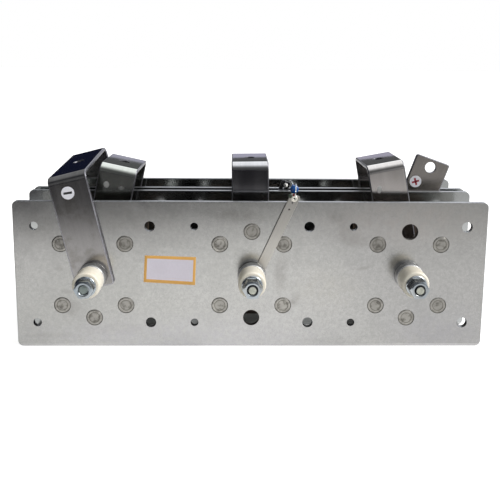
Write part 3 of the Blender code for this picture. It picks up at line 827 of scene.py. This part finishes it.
AC_TONE = ((0.43, 0.44, 0.405), (0.42, 0.415, 0.425), (0.46, 0.435, 0.42))
AC_ROUGH = (0.16, 0.11, 0.12)
# painted reflection: each bracket's upright faces darker (AC1, AC2) or paler (AC3) than its top
AC_UPRIGHT_PAINTED_LIGHT = (0.88, 0.68, 1.32)
# painted light: AC2's front leg 1.9 times paler at its low end, just above plate 1
AC_FOOT_PAINTED_LIGHT = (1.0, 1.9, 1.0)
AC_SCUFFS = (((-116.5, 126.8, 2.8, 3.3, 0.85), (-104.5, 123.9, 3.0, 1.8, 0.45)), (),
             ((103.4, 123.7, 2.6, 3.9, 0.85),))
for i, x in enumerate(STUD_X):
    bent_bar("bracket_ac%d" % (i + 1), "ac%d_bracket" % (i + 1), x,
             (AC_LEAN[i], AC_LEAN[i]), (AC_RISE[i], AC_RISE[i]),
             AC_LEG_D[0], AC_LEG_D[1], AC_HOLE,
             bar_material("bar_ac%d" % (i + 1), AC_LEAN[i], AC_TONE[i], AC_ROUGH[i], 0.15,
                          AC_UPRIGHT_PAINTED_LIGHT[i], AC_SCUFFS[i], AC_FOOT_PAINTED_LIGHT[i]))
# painted light: the factor 1.14 makes the minus strap's upright faces paler
bent_bar("strap_minus", "minus_strap", STUD_X[0], MINUS_LEAN, MINUS_RISE,
         MINUS_LEG_D[0], MINUS_LEG_D[1], MINUS_HOLE,
         bar_material("bar_minus", MINUS_LEAN[0], (0.285, 0.277, 0.275), 0.18, 0.55, 1.14,
                      soil=0.58))

half = 0.5 * PLUS_W
bm = slab(rectangle(-half, -BAR_END, half, PLUS_RISE, 2.0, 5),
          [(0.0, 0.0, 0.5 * BAR_HOLE, 32), (0.0, PLUS_HOLE_AT, 0.5 * PLUS_HOLE, 48)],
          BAR_T, 0.9, 4, 0.4)
for v in bm.verts:
    x, z = leaning(STUD_X[2], PLUS_LEAN, v.co.x, v.co.y)
    v.co = P(x, PLUS_D + v.co.z, z)
piece("strap_plus", bm,
      [bar_material("bar_plus", PLUS_LEAN, (0.385, 0.358, 0.335), 0.18), BAR_EDGE_PAINTED_SHEEN],
      ["plus_strap"])


# -------------------------------------------------------------- lug strips
def lug_strip(name, node, lean, depth, bow, mat, edge=LUG_EDGE):
    r = 0.5 * LUG_EYE
    left, right = LUG_SHIFT - 0.5 * LUG_W, LUG_SHIFT + 0.5 * LUG_W
    a_right = math.atan2(math.sqrt(r * r - right * right), right)
    a_left = math.atan2(math.sqrt(r * r - left * left), left)
    count = 40
    sweep = 2.0 * math.pi - (a_left - a_right)
    points = [(r * math.cos(a_left + sweep * i / count),
               r * math.sin(a_left + sweep * i / count)) for i in range(count + 1)]
    for cx, start in ((right - 1.6, 0.0), (left + 1.6, 90.0)):
        for i in range(7):
            a = math.radians(start + 15.0 * i)
            points.append((cx + 1.6 * math.cos(a), LUG_LEN - 1.6 + 1.6 * math.sin(a)))
    bm = slab(drawn_in(points),
              [(0.0, 0.0, 0.5 * BAR_HOLE, 32), (LUG_SHIFT, 60.6, 0.7, 16),
               (LUG_SHIFT, 66.2, 0.7, 16)], LUG_T, 0.22, 2)
    cut_across(bm, [10.0 + 4.0 * k for k in range(16)])
    for v in bm.verts:
        x, z = leaning(STUD_X[1], lean, v.co.x, v.co.y)
        rise = min(max((v.co.y - 10.0) / 30.0, 0.0), 1.0)
        off = bow * rise * rise * (3.0 - 2.0 * rise)
        v.co = P(x, depth + v.co.z - off, z)
    return piece(name, bm, [mat, edge], [node])


LUG = bar_material("lug_face", LUG_LEAN[0], (0.47, 0.455, 0.425), 0.30)
lug_strip("lug_front", "lug_strip_front", LUG_LEAN[0], LUG_D[0], 0.7, LUG)
# painted shade: the rear lug strip is a darker copy of the lug finish, with the darker bar edges,
# for the shade between the plates
LUG_REAR_SHADED = bar_material("lug_rear_face_shaded", LUG_LEAN[1], (0.22, 0.225, 0.235), 0.16)
lug_strip("lug_rear", "lug_strip_rear", LUG_LEAN[1], LUG_D[1], 0.0, LUG_REAR_SHADED,
          BAR_EDGE_PAINTED_SHEEN)


# ---------------------------------------------------------- stud hardware
def hex_radius(half_width):
    side = math.radians(60.0)

    def at(a):
        return half_width / math.cos((a + side / 2.0) % side - side / 2.0)
    return at


def hex_rows(cx, cz, seat, away, height, seg, after):
    """Rings of a flange nut or head. away is -1 to the front, +1 to the rear."""
    h = 0.5 * HEX_AF
    rho = hex_radius(h)
    rf = 0.5 * FLANGE_D
    slope = math.tan(math.radians(24.0))
    chamfer = math.tan(math.radians(30.0))
    top_r = 0.87 * h
    rows = [(rf - 0.3, seat), (rf, seat + away * 0.3), (rf, seat + away * 0.9),
            (rf - 0.3, seat + away * 1.25)]
    rows.append((lambda a: rho(a) + 0.3,
                 lambda a: seat + away * (1.25 + (rf - rho(a) - 0.6) * slope)))
    rows.append((lambda a: rho(a) * 0.995,
                 lambda a: seat + away * (1.7 + (rf - rho(a) - 0.3) * slope)))
    rows.append((rho, lambda a: seat + away * (height - (rho(a) - top_r) * chamfer)))
    rows.append((top_r + 0.12, seat + away * (height - 0.06)))
    rows.append((top_r - 0.12, seat + away * height))
    rows += after
    return [ring(cx, cz, r, d, seg) for r, d in rows]


def thread_rows(cx, cz, d0, d1, minor, major, seg, rows_per_pitch=8, taper=0.0):
    """Rings of an external thread from d0 to d1, run out over `taper`."""
    rows = []
    count = max(2, int(abs(d1 - d0) / PITCH * rows_per_pitch))
    for k in range(count + 1):
        d = d0 + (d1 - d0) * k / count

        def radius(a, d=d):
            phase = (d / PITCH + a / (2.0 * math.pi)) % 1.0
            wave = 1.0 - abs(2.0 * phase - 1.0)
            wave = min(1.0, max(0.0, 1.35 * wave - 0.12))
            edge = min(1.0, abs(d - d0) / taper) if taper else 1.0
            return minor + (major - minor) * wave * edge - (1.0 - edge) * 0.35
        rows.append(ring(cx, cz, radius, d, seg))
    return rows


for n, (x, stud) in enumerate(zip(STUD_X, STUDS), 1):
    d0, d1 = stud["collar"]
    piece("collar_%d" % n,
          lathe(x, STUD_Z, sleeve_profile(COLLAR_D, BORE_D, d0 - 0.13, d1 + 0.13, 0.7), 72),
          [COLLAR], ["stud%d_collar" % n])
    d0, d1 = stud["bush"]
    full = 0.5 * BUSH_D
    profile = [(full - 1.7, d0 - 0.13), (full - 1.3, d0 - 0.05), (full - 0.85, d0 + 0.2),
               (full - 0.5, d0 + 0.55), (full - 0.24, d0 + 1.1), (full - 0.08, d0 + 1.9),
               (full, d0 + 3.0)]
    profile += list(reversed(corner(full, d1 + 0.13, -1.0, -1.0, 0.6, 3)))
    profile += [(4.75, d1 + 0.13), (4.35, d1 - 0.3), (4.35, d0 + 0.3), (4.75, d0 - 0.13)]
    piece("bush_%d" % n, lathe(x, STUD_Z, profile, 80), [INSULATOR],
          ["stud%d_bush" % n])

    seat, tip = stud["seat"] + 0.13, stud["tip"]
    height = NUT_H[n - 1] + 0.13
    front = seat - height
    bore = [(4.45, front), (4.35, front + 0.05), (3.85, front + 0.6)]
    rows = hex_rows(x, STUD_Z, seat, -1.0, height, 72, bore)
    inner = thread_rows(x, STUD_Z, front + 0.6, front + 5.0, 3.85, 3.45, 72, 8)
    rows += inner[1:]
    marks = [0] * 11 + [1] * (len(rows) - 12)
    rows += [ring(x, STUD_Z, 3.45, front + 5.2, 72), ring(x, STUD_Z, 4.35, front + 5.6, 72),
             ring(x, STUD_Z, 4.35, seat, 72)]
    marks += [1, 1, 1, 0]
    piece("nut_%d" % n, loft(bmesh.new(), rows, True, marks),
          [ZINC, THREAD_PALE if n == 1 else SHADED_THREAD],
          ["stud%d_nut" % n])

    seg = 48
    end = 3.15 if n == 1 else 2.85
    rows = [ring(x, STUD_Z, 0.0, tip + 0.05, seg), ring(x, STUD_Z, 1.4, tip + 0.03, seg),
            ring(x, STUD_Z, end - 0.17, tip, seg), ring(x, STUD_Z, end, tip + 0.06, seg)]
    marks = [2, 2, 2]
    rows += [ring(x, STUD_Z, 3.36 if n == 1 else 3.3, tip + (0.5 if n == 1 else 0.9), seg)]
    rows += thread_rows(x, STUD_Z, tip + 1.0, tip + 11.0, 3.05, 3.36, seg, 8, 1.0)
    marks += [1] * (len(rows) - 1 - len(marks))
    head = stud["head"] - 0.13
    rows += [ring(x, STUD_Z, 3.36, tip + 11.2, seg), ring(x, STUD_Z, 3.95, tip + 12.0, seg)]
    marks += [1, 1]
    after = [(0.85 * 0.5 * HEX_AF, head + HEAD_H + 0.13), (4.5, head + HEAD_H - 0.5),
             (0.0, head + HEAD_H - 0.6)]
    rows += hex_rows(x, STUD_Z, head, 1.0, HEAD_H + 0.13, seg, after)
    marks += [0] * (len(rows) - 1 - len(marks))
    piece("bolt_%d" % n, loft(bmesh.new(), rows, False, marks),
          [ZINC, SHADED_THREAD, TIP_DARK if n == 1 else TIP_PALE], ["stud%d_bolt" % n])

    for tag, a, b in SPACERS:
        piece("spacer_%d%s" % (n, tag),
              lathe(x, STUD_Z, sleeve_profile(SPACER_D, BORE_D, a - 0.13, b + 0.13, 0.6), 56),
              [INSULATOR], ["stud%d_spacer_%s" % (n, tag)])
    a, b = stud["ring"]
    piece("ring_%d" % n,
          lathe(x, STUD_Z, sleeve_profile(SPACER_D, BORE_D, a - 0.13, b + 0.13, 0.5), 56),
          [COLLAR], ["stud%d_middle_ring" % n])


# ------------------------------------------------------------------ diodes
def diode(name, x, z, base, way, lead_end, stands_for=()):
    """Press-fit diode. way is +1 when its lead runs to the rear."""
    seg = 72
    r = 0.5 * DIODE_D

    def knurl(size):
        return lambda a: size + 0.09 * (1.0 if int(round(a / (2.0 * math.pi) * seg)) % 2 else -1.0)

    def at(radius, step):
        return ring(x, z, radius, base + way * step, seg)
    turn = (x * 0.37 + z * 0.61 + base) % 1.0
    dish = 0.04 + 0.08 * turn
    rows = [at(0.0, dish), at(2.0, dish), at(3.7, dish - 0.02), at(3.9, 0.07),
            at(4.0, 0.22), at(4.22, 0.22), at(4.34, 0.05), at(4.9, 0.0), at(5.85, 0.0),
            at(6.02, 0.08), at(6.14, 0.25),
            at(knurl(r + 0.12), 0.45), at(knurl(r + 0.12), 5.7), at(6.0, 6.2),
            at(5.6, 6.35), at(3.7, 6.35), at(3.55, 6.5)]
    marks = [4, 4, 4, 3, 3, 3, 0, 0, 0, 0, 3, 3, 3, 0, 0, 0]
    rows += [at(3.3, 6.7), at(2.9, 7.3), at(2.1, 8.0), at(1.2, 8.5), at(0.85, 9.0)]
    marks += [0] + [1] * 4
    span = abs(lead_end - base)
    rows += [at(0.75, 9.6), at(0.75, span - 1.6), at(0.95, span - 1.0),
             at(1.5, span - 0.4), at(2.2, span + 0.13), at(0.0, span + 0.13)]
    marks += [2] * (len(rows) - 1 - len(marks))
    return piece(name, loft(bmesh.new(), rows, False, marks), [DIODE, SEAL, WIRE, KNURL, POCKET],
                 stands_for)


LETTERS = (("a", -1, 1), ("b", 1, 1), ("c", -1, -1), ("d", 1, -1), ("e", 0, 0))
for i, cx in enumerate(STUD_X):
    for letter, sx, sz in LETTERS:
        if letter == "e":
            x, z = cx, STUD_Z + FIFTH[i] * DIODE_RING
        else:
            x, z = cx + sx * DIODE_OFFSET, STUD_Z + sz * DIODE_OFFSET
        # a diode above the stud has the bracket's leg in front of its contact sheet
        top_one = letter == "e" and FIFTH[i] > 0
        tag = "%d%s" % (i + 1, letter)
        diode("diode_1_" + tag, x, z, 0.0, 1, 21.45 if top_one else 24.75,
              ["diode_" + tag])
        diode("diode_2_" + tag, x, z, 46.5, -1, 27.35)
        diode("diode_3_" + tag, x, z, 55.5, 1, 74.65)
        diode("diode_4_" + tag, x, z, 102.0, -1, 80.55 if top_one else 77.25)

# ---------------------------------------------------------------- varistor
x, d, z = VAR_AT
r, t = 0.5 * VAR_D, 0.5 * VAR_T
bm = bmesh.new()
profile = [(0.0, d - t), (1.3, d - t + 0.02), (2.1, d - t + 0.16), (2.75, d - t + 0.5),
           (3.15, d - t + 1.0), (r, d), (3.15, d + t - 1.0), (2.75, d + t - 0.5),
           (2.1, d + t - 0.16), (1.3, d + t - 0.02), (0.0, d + t)]
lathe(x, z, profile, 40, False, 0, bm)
front_top = leaning(STUD_X[1], LUG_LEAN[0], LUG_SHIFT, 70.6)
rear_top = leaning(STUD_X[1], LUG_LEAN[1], LUG_SHIFT + 0.6, 69.3)
front_lead = [P(x + 1.2, d, z + r - 1.2), P(x + 1.2, d - 0.6, z + r + 0.3),
              P(x + 1.0, d - 2.6, z + r + 1.0), P(x + 0.6, d - 6.5, z + r + 0.4),
              P(x + 0.2, d - 10.0, z + r - 2.0),
              P(front_top[0] + 0.6, -2.8, front_top[1] + 5.0),
              P(front_top[0], -2.4, front_top[1])]
rear_lead = [P(x - 1.2, d, z + r - 1.2), P(x - 1.3, d + 0.8, z + r + 0.4),
             P(x - 1.6, d + 4.5, z + r + 1.0), P(x - 2.2, d + 16.0, z + r + 0.6),
             P(rear_top[0] + 0.3, 40.0, rear_top[1] + 2.6),
             P(rear_top[0], 46.1, rear_top[1])]
for path in (front_lead, rear_lead):
    tube(bm, smooth_path(path), LEAD_D, 12, 1)
# lacquer run a little way down each lead
for path in (front_lead, rear_lead):
    line = smooth_path(path)[1:7]
    rows = []
    for k, p in enumerate(line):
        size = (1.5, 1.35, 1.1, 0.95, 0.88, 0.84)[k]
        axis = (line[min(k + 1, 5)] - line[max(k - 1, 0)]).normalized()
        side = axis.orthogonal().normalized()
        up = axis.cross(side)
        rows.append([p + (side * math.cos(math.pi * q / 6.0)
                          + up * math.sin(math.pi * q / 6.0)) * 0.5 * size * MM
                     for q in range(12)])
    loft(bm, rows, False, 0)
piece("varistor", bm, [LACQUER, WIRE], ["disc_varistor"])

# ------------------------------------------------------------------ solder
bm = bmesh.new()
ex, ez = leaning(STUD_X[1], LUG_LEAN[0], LUG_SHIFT, 70.0)
rows = []
for k in range(14):
    a = 2.0 * math.pi * k / 14.0
    rows.append((1.65 + 0.95 * math.cos(a), -2.3 + 0.62 * math.sin(a)))
lathe(ex, ez, rows, 40, True, 0, bm)
# painted shade: a black disc in the solder ring's middle stands for the dark of its hole; the same
# black is the stickers' print
lathe(ex, ez, [(0.0, -2.1), (0.8, -2.1), (0.8, -1.9), (0.0, -1.9)], 24, False, 1, bm)
blob = [(0.0, -3.1), (0.5, -3.05), (0.95, -2.8), (1.2, -2.4), (1.25, -1.95), (0.0, -1.9)]
lathe(ex - 0.2, ez + 2.6, blob, 24, False, 2, bm)
blob = [(0.0, -3.0), (0.6, -2.95), (1.2, -2.7), (1.6, -2.3), (1.7, -1.95), (0.0, -1.9)]
lathe(ex - 3.2, ez + 1.9, blob, 24, False, 3, bm)
piece("solder_front", bm, [SOLDER_CREAM, INK_AND_HOLE_SHADE, RED_DAB, GREEN_DAB])

bm = bmesh.new()
rx, rz = rear_top
blob = [(0.0, 44.9), (0.5, 44.96), (0.95, 45.2), (1.3, 45.6), (1.6, 46.2), (1.9, 46.75),
        (0.0, 46.8)]
lathe(rx, rz, blob, 32, False, 0, bm)
piece("solder_rear", bm, [SOLDER])


# ---------------------------------------------------------------- stickers
def disc_sticker(name, cx, cz, face, marks, ink):
    """Round sticker on a face that looks to the front, with printed bars."""
    bm = bmesh.new()
    rim = [(4.9, 0.0), (5.0, -0.05), (4.95, -0.12), (0.0, -0.13)]
    lathe(cx, cz, [(0.0, face + 0.02)] + [(r, face + s) for r, s in rim], 64, False, 0, bm)
    for length, width, turn in marks:
        a = math.radians(turn)
        out = []
        for px, pz in rectangle(-0.5 * length, -0.5 * width, 0.5 * length, 0.5 * width,
                                0.12, 3)(0.0):
            out.append((cx + px * math.cos(a) - pz * math.sin(a),
                        cz + px * math.sin(a) + pz * math.cos(a)))
        low = [bm.verts.new(P(px, face - 0.13, pz)) for px, pz in out]
        high = [bm.verts.new(P(px, face - 0.15, pz)) for px, pz in out]
        for i in range(len(low)):
            j = (i + 1) % len(low)
            bm.faces.new((low[i], low[j], high[j], high[i])).material_index = 1
        bm.faces.new(high).material_index = 1
        bm.faces.new(list(reversed(low))).material_index = 1
    return piece(name, bm, [STICKER, ink])


disc_sticker("sticker_minus", -140.9, 124.9, MINUS_LEG_D[0], [(6.6, 1.75, 9.0)], INK_AND_HOLE_SHADE)
disc_sticker("sticker_plus", 139.4, 125.8, PLUS_D, [(6.3, 1.55, 17.0), (6.3, 1.55, 107.0)],
             INK_RED)

# ------------------------------------------------------------------- label
corners = [(-83.6, 74.8), (-43.6, 73.5), (-44.5, 50.6), (-84.9, 53.1)]


def on_label(u, v):
    """u across and v down, 0 to 1 over the label."""
    (ax, az), (bx, bz), (cx, cz), (dx, dz) = corners
    top = (ax + (bx - ax) * u, az + (bz - az) * u)
    low = (dx + (cx - dx) * u, dz + (cz - dz) * u)
    return top[0] + (low[0] - top[0]) * v, top[1] + (low[1] - top[1]) * v


bm = bmesh.new()
us = (0.0, 0.006, 0.052, 0.950, 0.994, 1.0)
vs = (0.0, 0.010, 0.108, 0.880, 0.990, 1.0)
grid = {}
for i, u in enumerate(us):
    for j, v in enumerate(vs):
        outer = i in (0, 5) or j in (0, 5)
        px, pz = on_label(u, v)
        grid[i, j] = bm.verts.new(P(px, -0.02 if outer else -0.12, pz))
for i in range(5):
    for j in range(5):
        f = bm.faces.new((grid[i, j], grid[i + 1, j], grid[i + 1, j + 1], grid[i, j + 1]))
        f.material_index = 0 if (i == 2 and j == 2) else 1
rim = [grid[i, 0] for i in range(6)] + [grid[5, j] for j in range(1, 6)]
rim += [grid[i, 5] for i in range(4, -1, -1)] + [grid[0, j] for j in range(4, 0, -1)]
bm.faces.new(list(reversed(rim))).material_index = 1
piece("label", bm, [LABEL, LABEL_EDGE], angle=50.0)

# ------------------------------------------------------------------- stage
mesh = bpy.data.meshes.new("floor")
bm = bmesh.new()
bmesh.ops.create_grid(bm, x_segments=8, y_segments=8, size=12.0)
bm.to_mesh(mesh)
bm.free()
floor = bpy.data.objects.new("floor", mesh)
mesh.materials.append(floor_material("floor_pale"))
bpy.context.scene.collection.objects.link(floor)


# ------------------------------------------------------------------- light
def dark_card(name, size, place, gradient):
    """Sheet over the floor, dark in places, that only mirrored light meets."""
    mesh = bpy.data.meshes.new(name)
    bm = bmesh.new()
    bmesh.ops.create_grid(bm, x_segments=1, y_segments=1, size=0.5)
    for v in bm.verts:
        v.co = Vector((v.co.x * size[0] + place[0], v.co.y * size[1] + place[1], place[2]))
    bm.to_mesh(mesh)
    bm.free()
    mat = bpy.data.materials.new(name)
    mat.use_nodes = True
    tree = mat.node_tree
    tree.nodes.clear()
    out = tree.nodes.new("ShaderNodeOutputMaterial")
    mixer = tree.nodes.new("ShaderNodeMixShader")
    clear = tree.nodes.new("ShaderNodeBsdfTransparent")
    dark = tree.nodes.new("ShaderNodeEmission")
    dark.inputs["Color"].default_value = (0.018, 0.018, 0.024, 1.0)
    dark.inputs["Strength"].default_value = 1.0
    gradient(tree, mixer.inputs["Fac"])
    tree.links.new(clear.outputs[0], mixer.inputs[1])
    tree.links.new(dark.outputs[0], mixer.inputs[2])
    tree.links.new(mixer.outputs[0], out.inputs["Surface"])
    mesh.materials.append(mat)
    obj = bpy.data.objects.new(name, mesh)
    bpy.context.scene.collection.objects.link(obj)
    obj.visible_camera = False
    obj.visible_diffuse = False
    obj.visible_shadow = False
    obj.visible_transmission = False
    return obj


def front_gradient(tree, target):
    """Dark grows with the distance in front of the plates, less to the right,
    and a little towards both sides."""
    def node(kind, inputs, **props):
        n = tree.nodes.new(kind)
        for key, value in props.items():
            setattr(n, key, value)
        for key, value in inputs:
            if isinstance(value, bpy.types.NodeSocket):
                tree.links.new(value, n.inputs[key])
            else:
                n.inputs[key].default_value = value
        return n.outputs[0]

    def rng(source, low, high, out_low=0.0, out_high=1.0):
        return node("ShaderNodeMapRange",
                    (("Value", source), ("From Min", low), ("From Max", high),
                     ("To Min", out_low), ("To Max", out_high)),
                    interpolation_type="SMOOTHSTEP")

    def calc(op, a, b):
        return node("ShaderNodeMath", ((0, a), (1, b)), operation=op)

    coord = tree.nodes.new("ShaderNodeTexCoord")
    parts = tree.nodes.new("ShaderNodeSeparateXYZ")
    tree.links.new(coord.outputs["Object"], parts.inputs[0])
    X, Y = parts.outputs["X"], parts.outputs["Y"]
    along = rng(Y, -0.27, -0.54)
    near = rng(X, -0.30, 0.20, 1.0, 0.42)
    clear = calc("MULTIPLY", rng(Y, -0.56, -0.82, 0.68, 0.28), rng(X, 0.06, 0.23))
    far = calc("MULTIPLY", calc("SUBTRACT", 1.0, clear), rng(X, -0.10, -0.28, 0.99, 0.93))
    which = rng(Y, -0.51, -0.60)
    both = calc("ADD", calc("MULTIPLY", near, calc("SUBTRACT", 1.0, which)),
                calc("MULTIPLY", far, which))
    front = calc("SUBTRACT", 1.0, calc("MULTIPLY", along, both))
    left = calc("MULTIPLY", rng(X, -0.06, -0.19, 1.0, 0.86), rng(X, -0.27, -0.45, 1.0, 0.16))
    right = rng(X, 0.02, 0.17, 1.0, 0.76)
    open_floor = calc("MULTIPLY", front, calc("MULTIPLY", left, right))
    tree.links.new(calc("SUBTRACT", 1.0, open_floor), target)


dark_card("card_floor", (22.0, 22.0), (0.0, 0.0, 0.002), front_gradient)


def studio_world():
    """White to the eye, soft light on matt surfaces, and for mirrored rays a
    bright ceiling over dark low walls."""
    world = bpy.data.worlds.new("studio")
    bpy.context.scene.world = world
    world.use_nodes = True
    tree = world.node_tree
    tree.nodes.clear()
    link = tree.links.new

    def new(kind, **props):
        n = tree.nodes.new(kind)
        for k, v in props.items():
            setattr(n, k, v)
        return n

    def rng(source, low, high, out_low=0.0, out_high=1.0):
        n = new("ShaderNodeMapRange", interpolation_type="SMOOTHSTEP")
        n.inputs["From Min"].default_value = low
        n.inputs["From Max"].default_value = high
        n.inputs["To Min"].default_value = out_low
        n.inputs["To Max"].default_value = out_high
        link(source, n.inputs["Value"])
        return n.outputs[0]

    def calc(op, a, b):
        n = new("ShaderNodeMath", operation=op)
        for i, v in enumerate((a, b)):
            if isinstance(v, bpy.types.NodeSocket):
                link(v, n.inputs[i])
            else:
                n.inputs[i].default_value = v
        return n.outputs[0]

    out = new("ShaderNodeOutputWorld")
    coord = new("ShaderNodeTexCoord")
    parts = new("ShaderNodeSeparateXYZ")
    link(coord.outputs["Generated"], parts.inputs[0])
    X, Y, Z = parts.outputs["X"], parts.outputs["Y"], parts.outputs["Z"]
    path = new("ShaderNodeLightPath")

    # mirrored rays: a ceiling that reaches lower behind than in front, dimmer
    # to the left, a pale band low behind, and a bright wall to the right
    reach = rng(Y, -0.92, -0.05, 0.07, 1.0)
    height = calc("MAXIMUM", rng(Z, 0.26, 0.36), rng(Y, -0.5, -0.8))
    height = calc("MULTIPLY", height, rng(Z, -0.02, 0.10))
    dim = rng(X, -0.29, -0.05, 0.24, 1.0)
    ceiling = calc("MULTIPLY", calc("MULTIPLY", reach, height), dim)
    fade = calc("MULTIPLY", rng(X, 0.0, -0.12), rng(Y, -0.35, -0.75))
    ceiling = calc("MULTIPLY", ceiling, calc("SUBTRACT", 1.0, calc("MULTIPLY", fade, 0.6)))
    aside = calc("ABSOLUTE", calc("SUBTRACT", X, 0.025), 0.0)
    spread = calc("MULTIPLY", calc("MAXIMUM", calc("SUBTRACT", aside, 0.04), 0.0), 0.214)
    spread = calc("ADD", spread, rng(aside, 0.042, 0.060, 0.0040, 0.0452))
    spread = calc("ADD", spread, rng(X, 0.07, 0.10, 0.0, 0.0052))
    low_band = calc("MULTIPLY", rng(calc("SUBTRACT", Z, spread), 0.1450, 0.1475, 1.0, 0.0),
                    rng(Y, 0.2, 0.6))
    aft = calc("MULTIPLY", rng(X, -0.24, -0.12), rng(Y, 0.2, 0.6))
    low_band = calc("MULTIPLY", low_band, rng(X, -0.24, -0.12))
    wall = calc("MULTIPLY", rng(X, 0.35, 0.75), rng(Z, -0.1, 0.05))
    level = calc("MAXIMUM", calc("MULTIPLY", ceiling, 2.1), calc("MULTIPLY", low_band, 0.60))
    level = calc("MAXIMUM", level, calc("MULTIPLY", wall, 0.75))
    level = calc("MAXIMUM", level, calc("MULTIPLY", aft, 0.13))
    fore = calc("MULTIPLY", rng(Y, -0.60, -0.88), rng(Z, -0.02, 0.06))
    sides = calc("MAXIMUM", rng(X, -0.04, -0.16, 0.0, 0.22), rng(X, 0.07, 0.18, 0.0, 0.36))
    level = calc("MAXIMUM", level, calc("MULTIPLY", fore, sides))
    level = calc("MAXIMUM", level, 0.018)
    tint = new("ShaderNodeMix", data_type="RGBA")
    link(low_band, tint.inputs[0])
    tint.inputs[6].default_value = (0.96, 0.99, 1.02, 1.0)
    tint.inputs[7].default_value = (0.88, 0.87, 1.08, 1.0)
    deep = new("ShaderNodeMix", data_type="RGBA")
    link(rng(level, 0.018, 0.10), deep.inputs[0])
    deep.inputs[6].default_value = (0.50, 0.62, 1.60, 1.0)
    link(tint.outputs[2], deep.inputs[7])
    mirrored = new("ShaderNodeBackground")
    link(deep.outputs[2], mirrored.inputs["Color"])
    link(level, mirrored.inputs["Strength"])

    soft = new("ShaderNodeBackground")
    fill = new("ShaderNodeMix", data_type="RGBA")
    link(rng(X, -0.5, 0.5), fill.inputs[0])
    fill.inputs[6].default_value = (0.96, 1.0, 0.82, 1.0)
    fill.inputs[7].default_value = (1.0, 0.98, 1.02, 1.0)
    link(fill.outputs[2], soft.inputs["Color"])
    link(rng(X, -0.6, 0.6, 0.08, 0.80), soft.inputs["Strength"])
    seen = new("ShaderNodeBackground")
    seen.inputs["Color"].default_value = (1.0, 1.0, 1.0, 1.0)
    seen.inputs["Strength"].default_value = 1.0

    first = new("ShaderNodeMixShader")
    link(path.outputs["Is Glossy Ray"], first.inputs[0])
    link(soft.outputs[0], first.inputs[1])
    link(mirrored.outputs[0], first.inputs[2])
    second = new("ShaderNodeMixShader")
    link(path.outputs["Is Camera Ray"], second.inputs[0])
    link(first.outputs[0], second.inputs[1])
    link(seen.outputs[0], second.inputs[2])
    link(second.outputs[0], out.inputs["Surface"])


studio_world()

sun = bpy.data.lights.new("key", "SUN")
sun.energy = 2.8
sun.angle = math.radians(30.0)
sun.color = (1.0, 0.985, 0.96)
key = bpy.data.objects.new("key", sun)
key.rotation_euler = Vector((-0.95, 0.24, -0.78)).to_track_quat("-Z", "Y").to_euler()
bpy.context.scene.collection.objects.link(key)

# ------------------------------------------------------------------ camera
data = bpy.data.cameras.new("camera")
data.sensor_width = 36.0
data.sensor_fit = "HORIZONTAL"
data.lens = 47.136
data.shift_y = -0.18
data.clip_start, data.clip_end = 0.01, 60.0
camera = bpy.data.objects.new("camera", data)
turn = (Euler((0.0, 0.0, math.radians(-1.2253))).to_matrix()
        @ Euler((math.radians(81.171), 0.0, 0.0)).to_matrix()
        @ Euler((0.0, 0.0, math.radians(0.5077))).to_matrix())
camera.matrix_world = Matrix.Translation((-0.0126, -0.5344, 0.2277)) @ turn.to_4x4()
bpy.context.scene.collection.objects.link(camera)
bpy.context.scene.camera = camera

bpy.context.scene.view_settings.view_transform = "Standard"
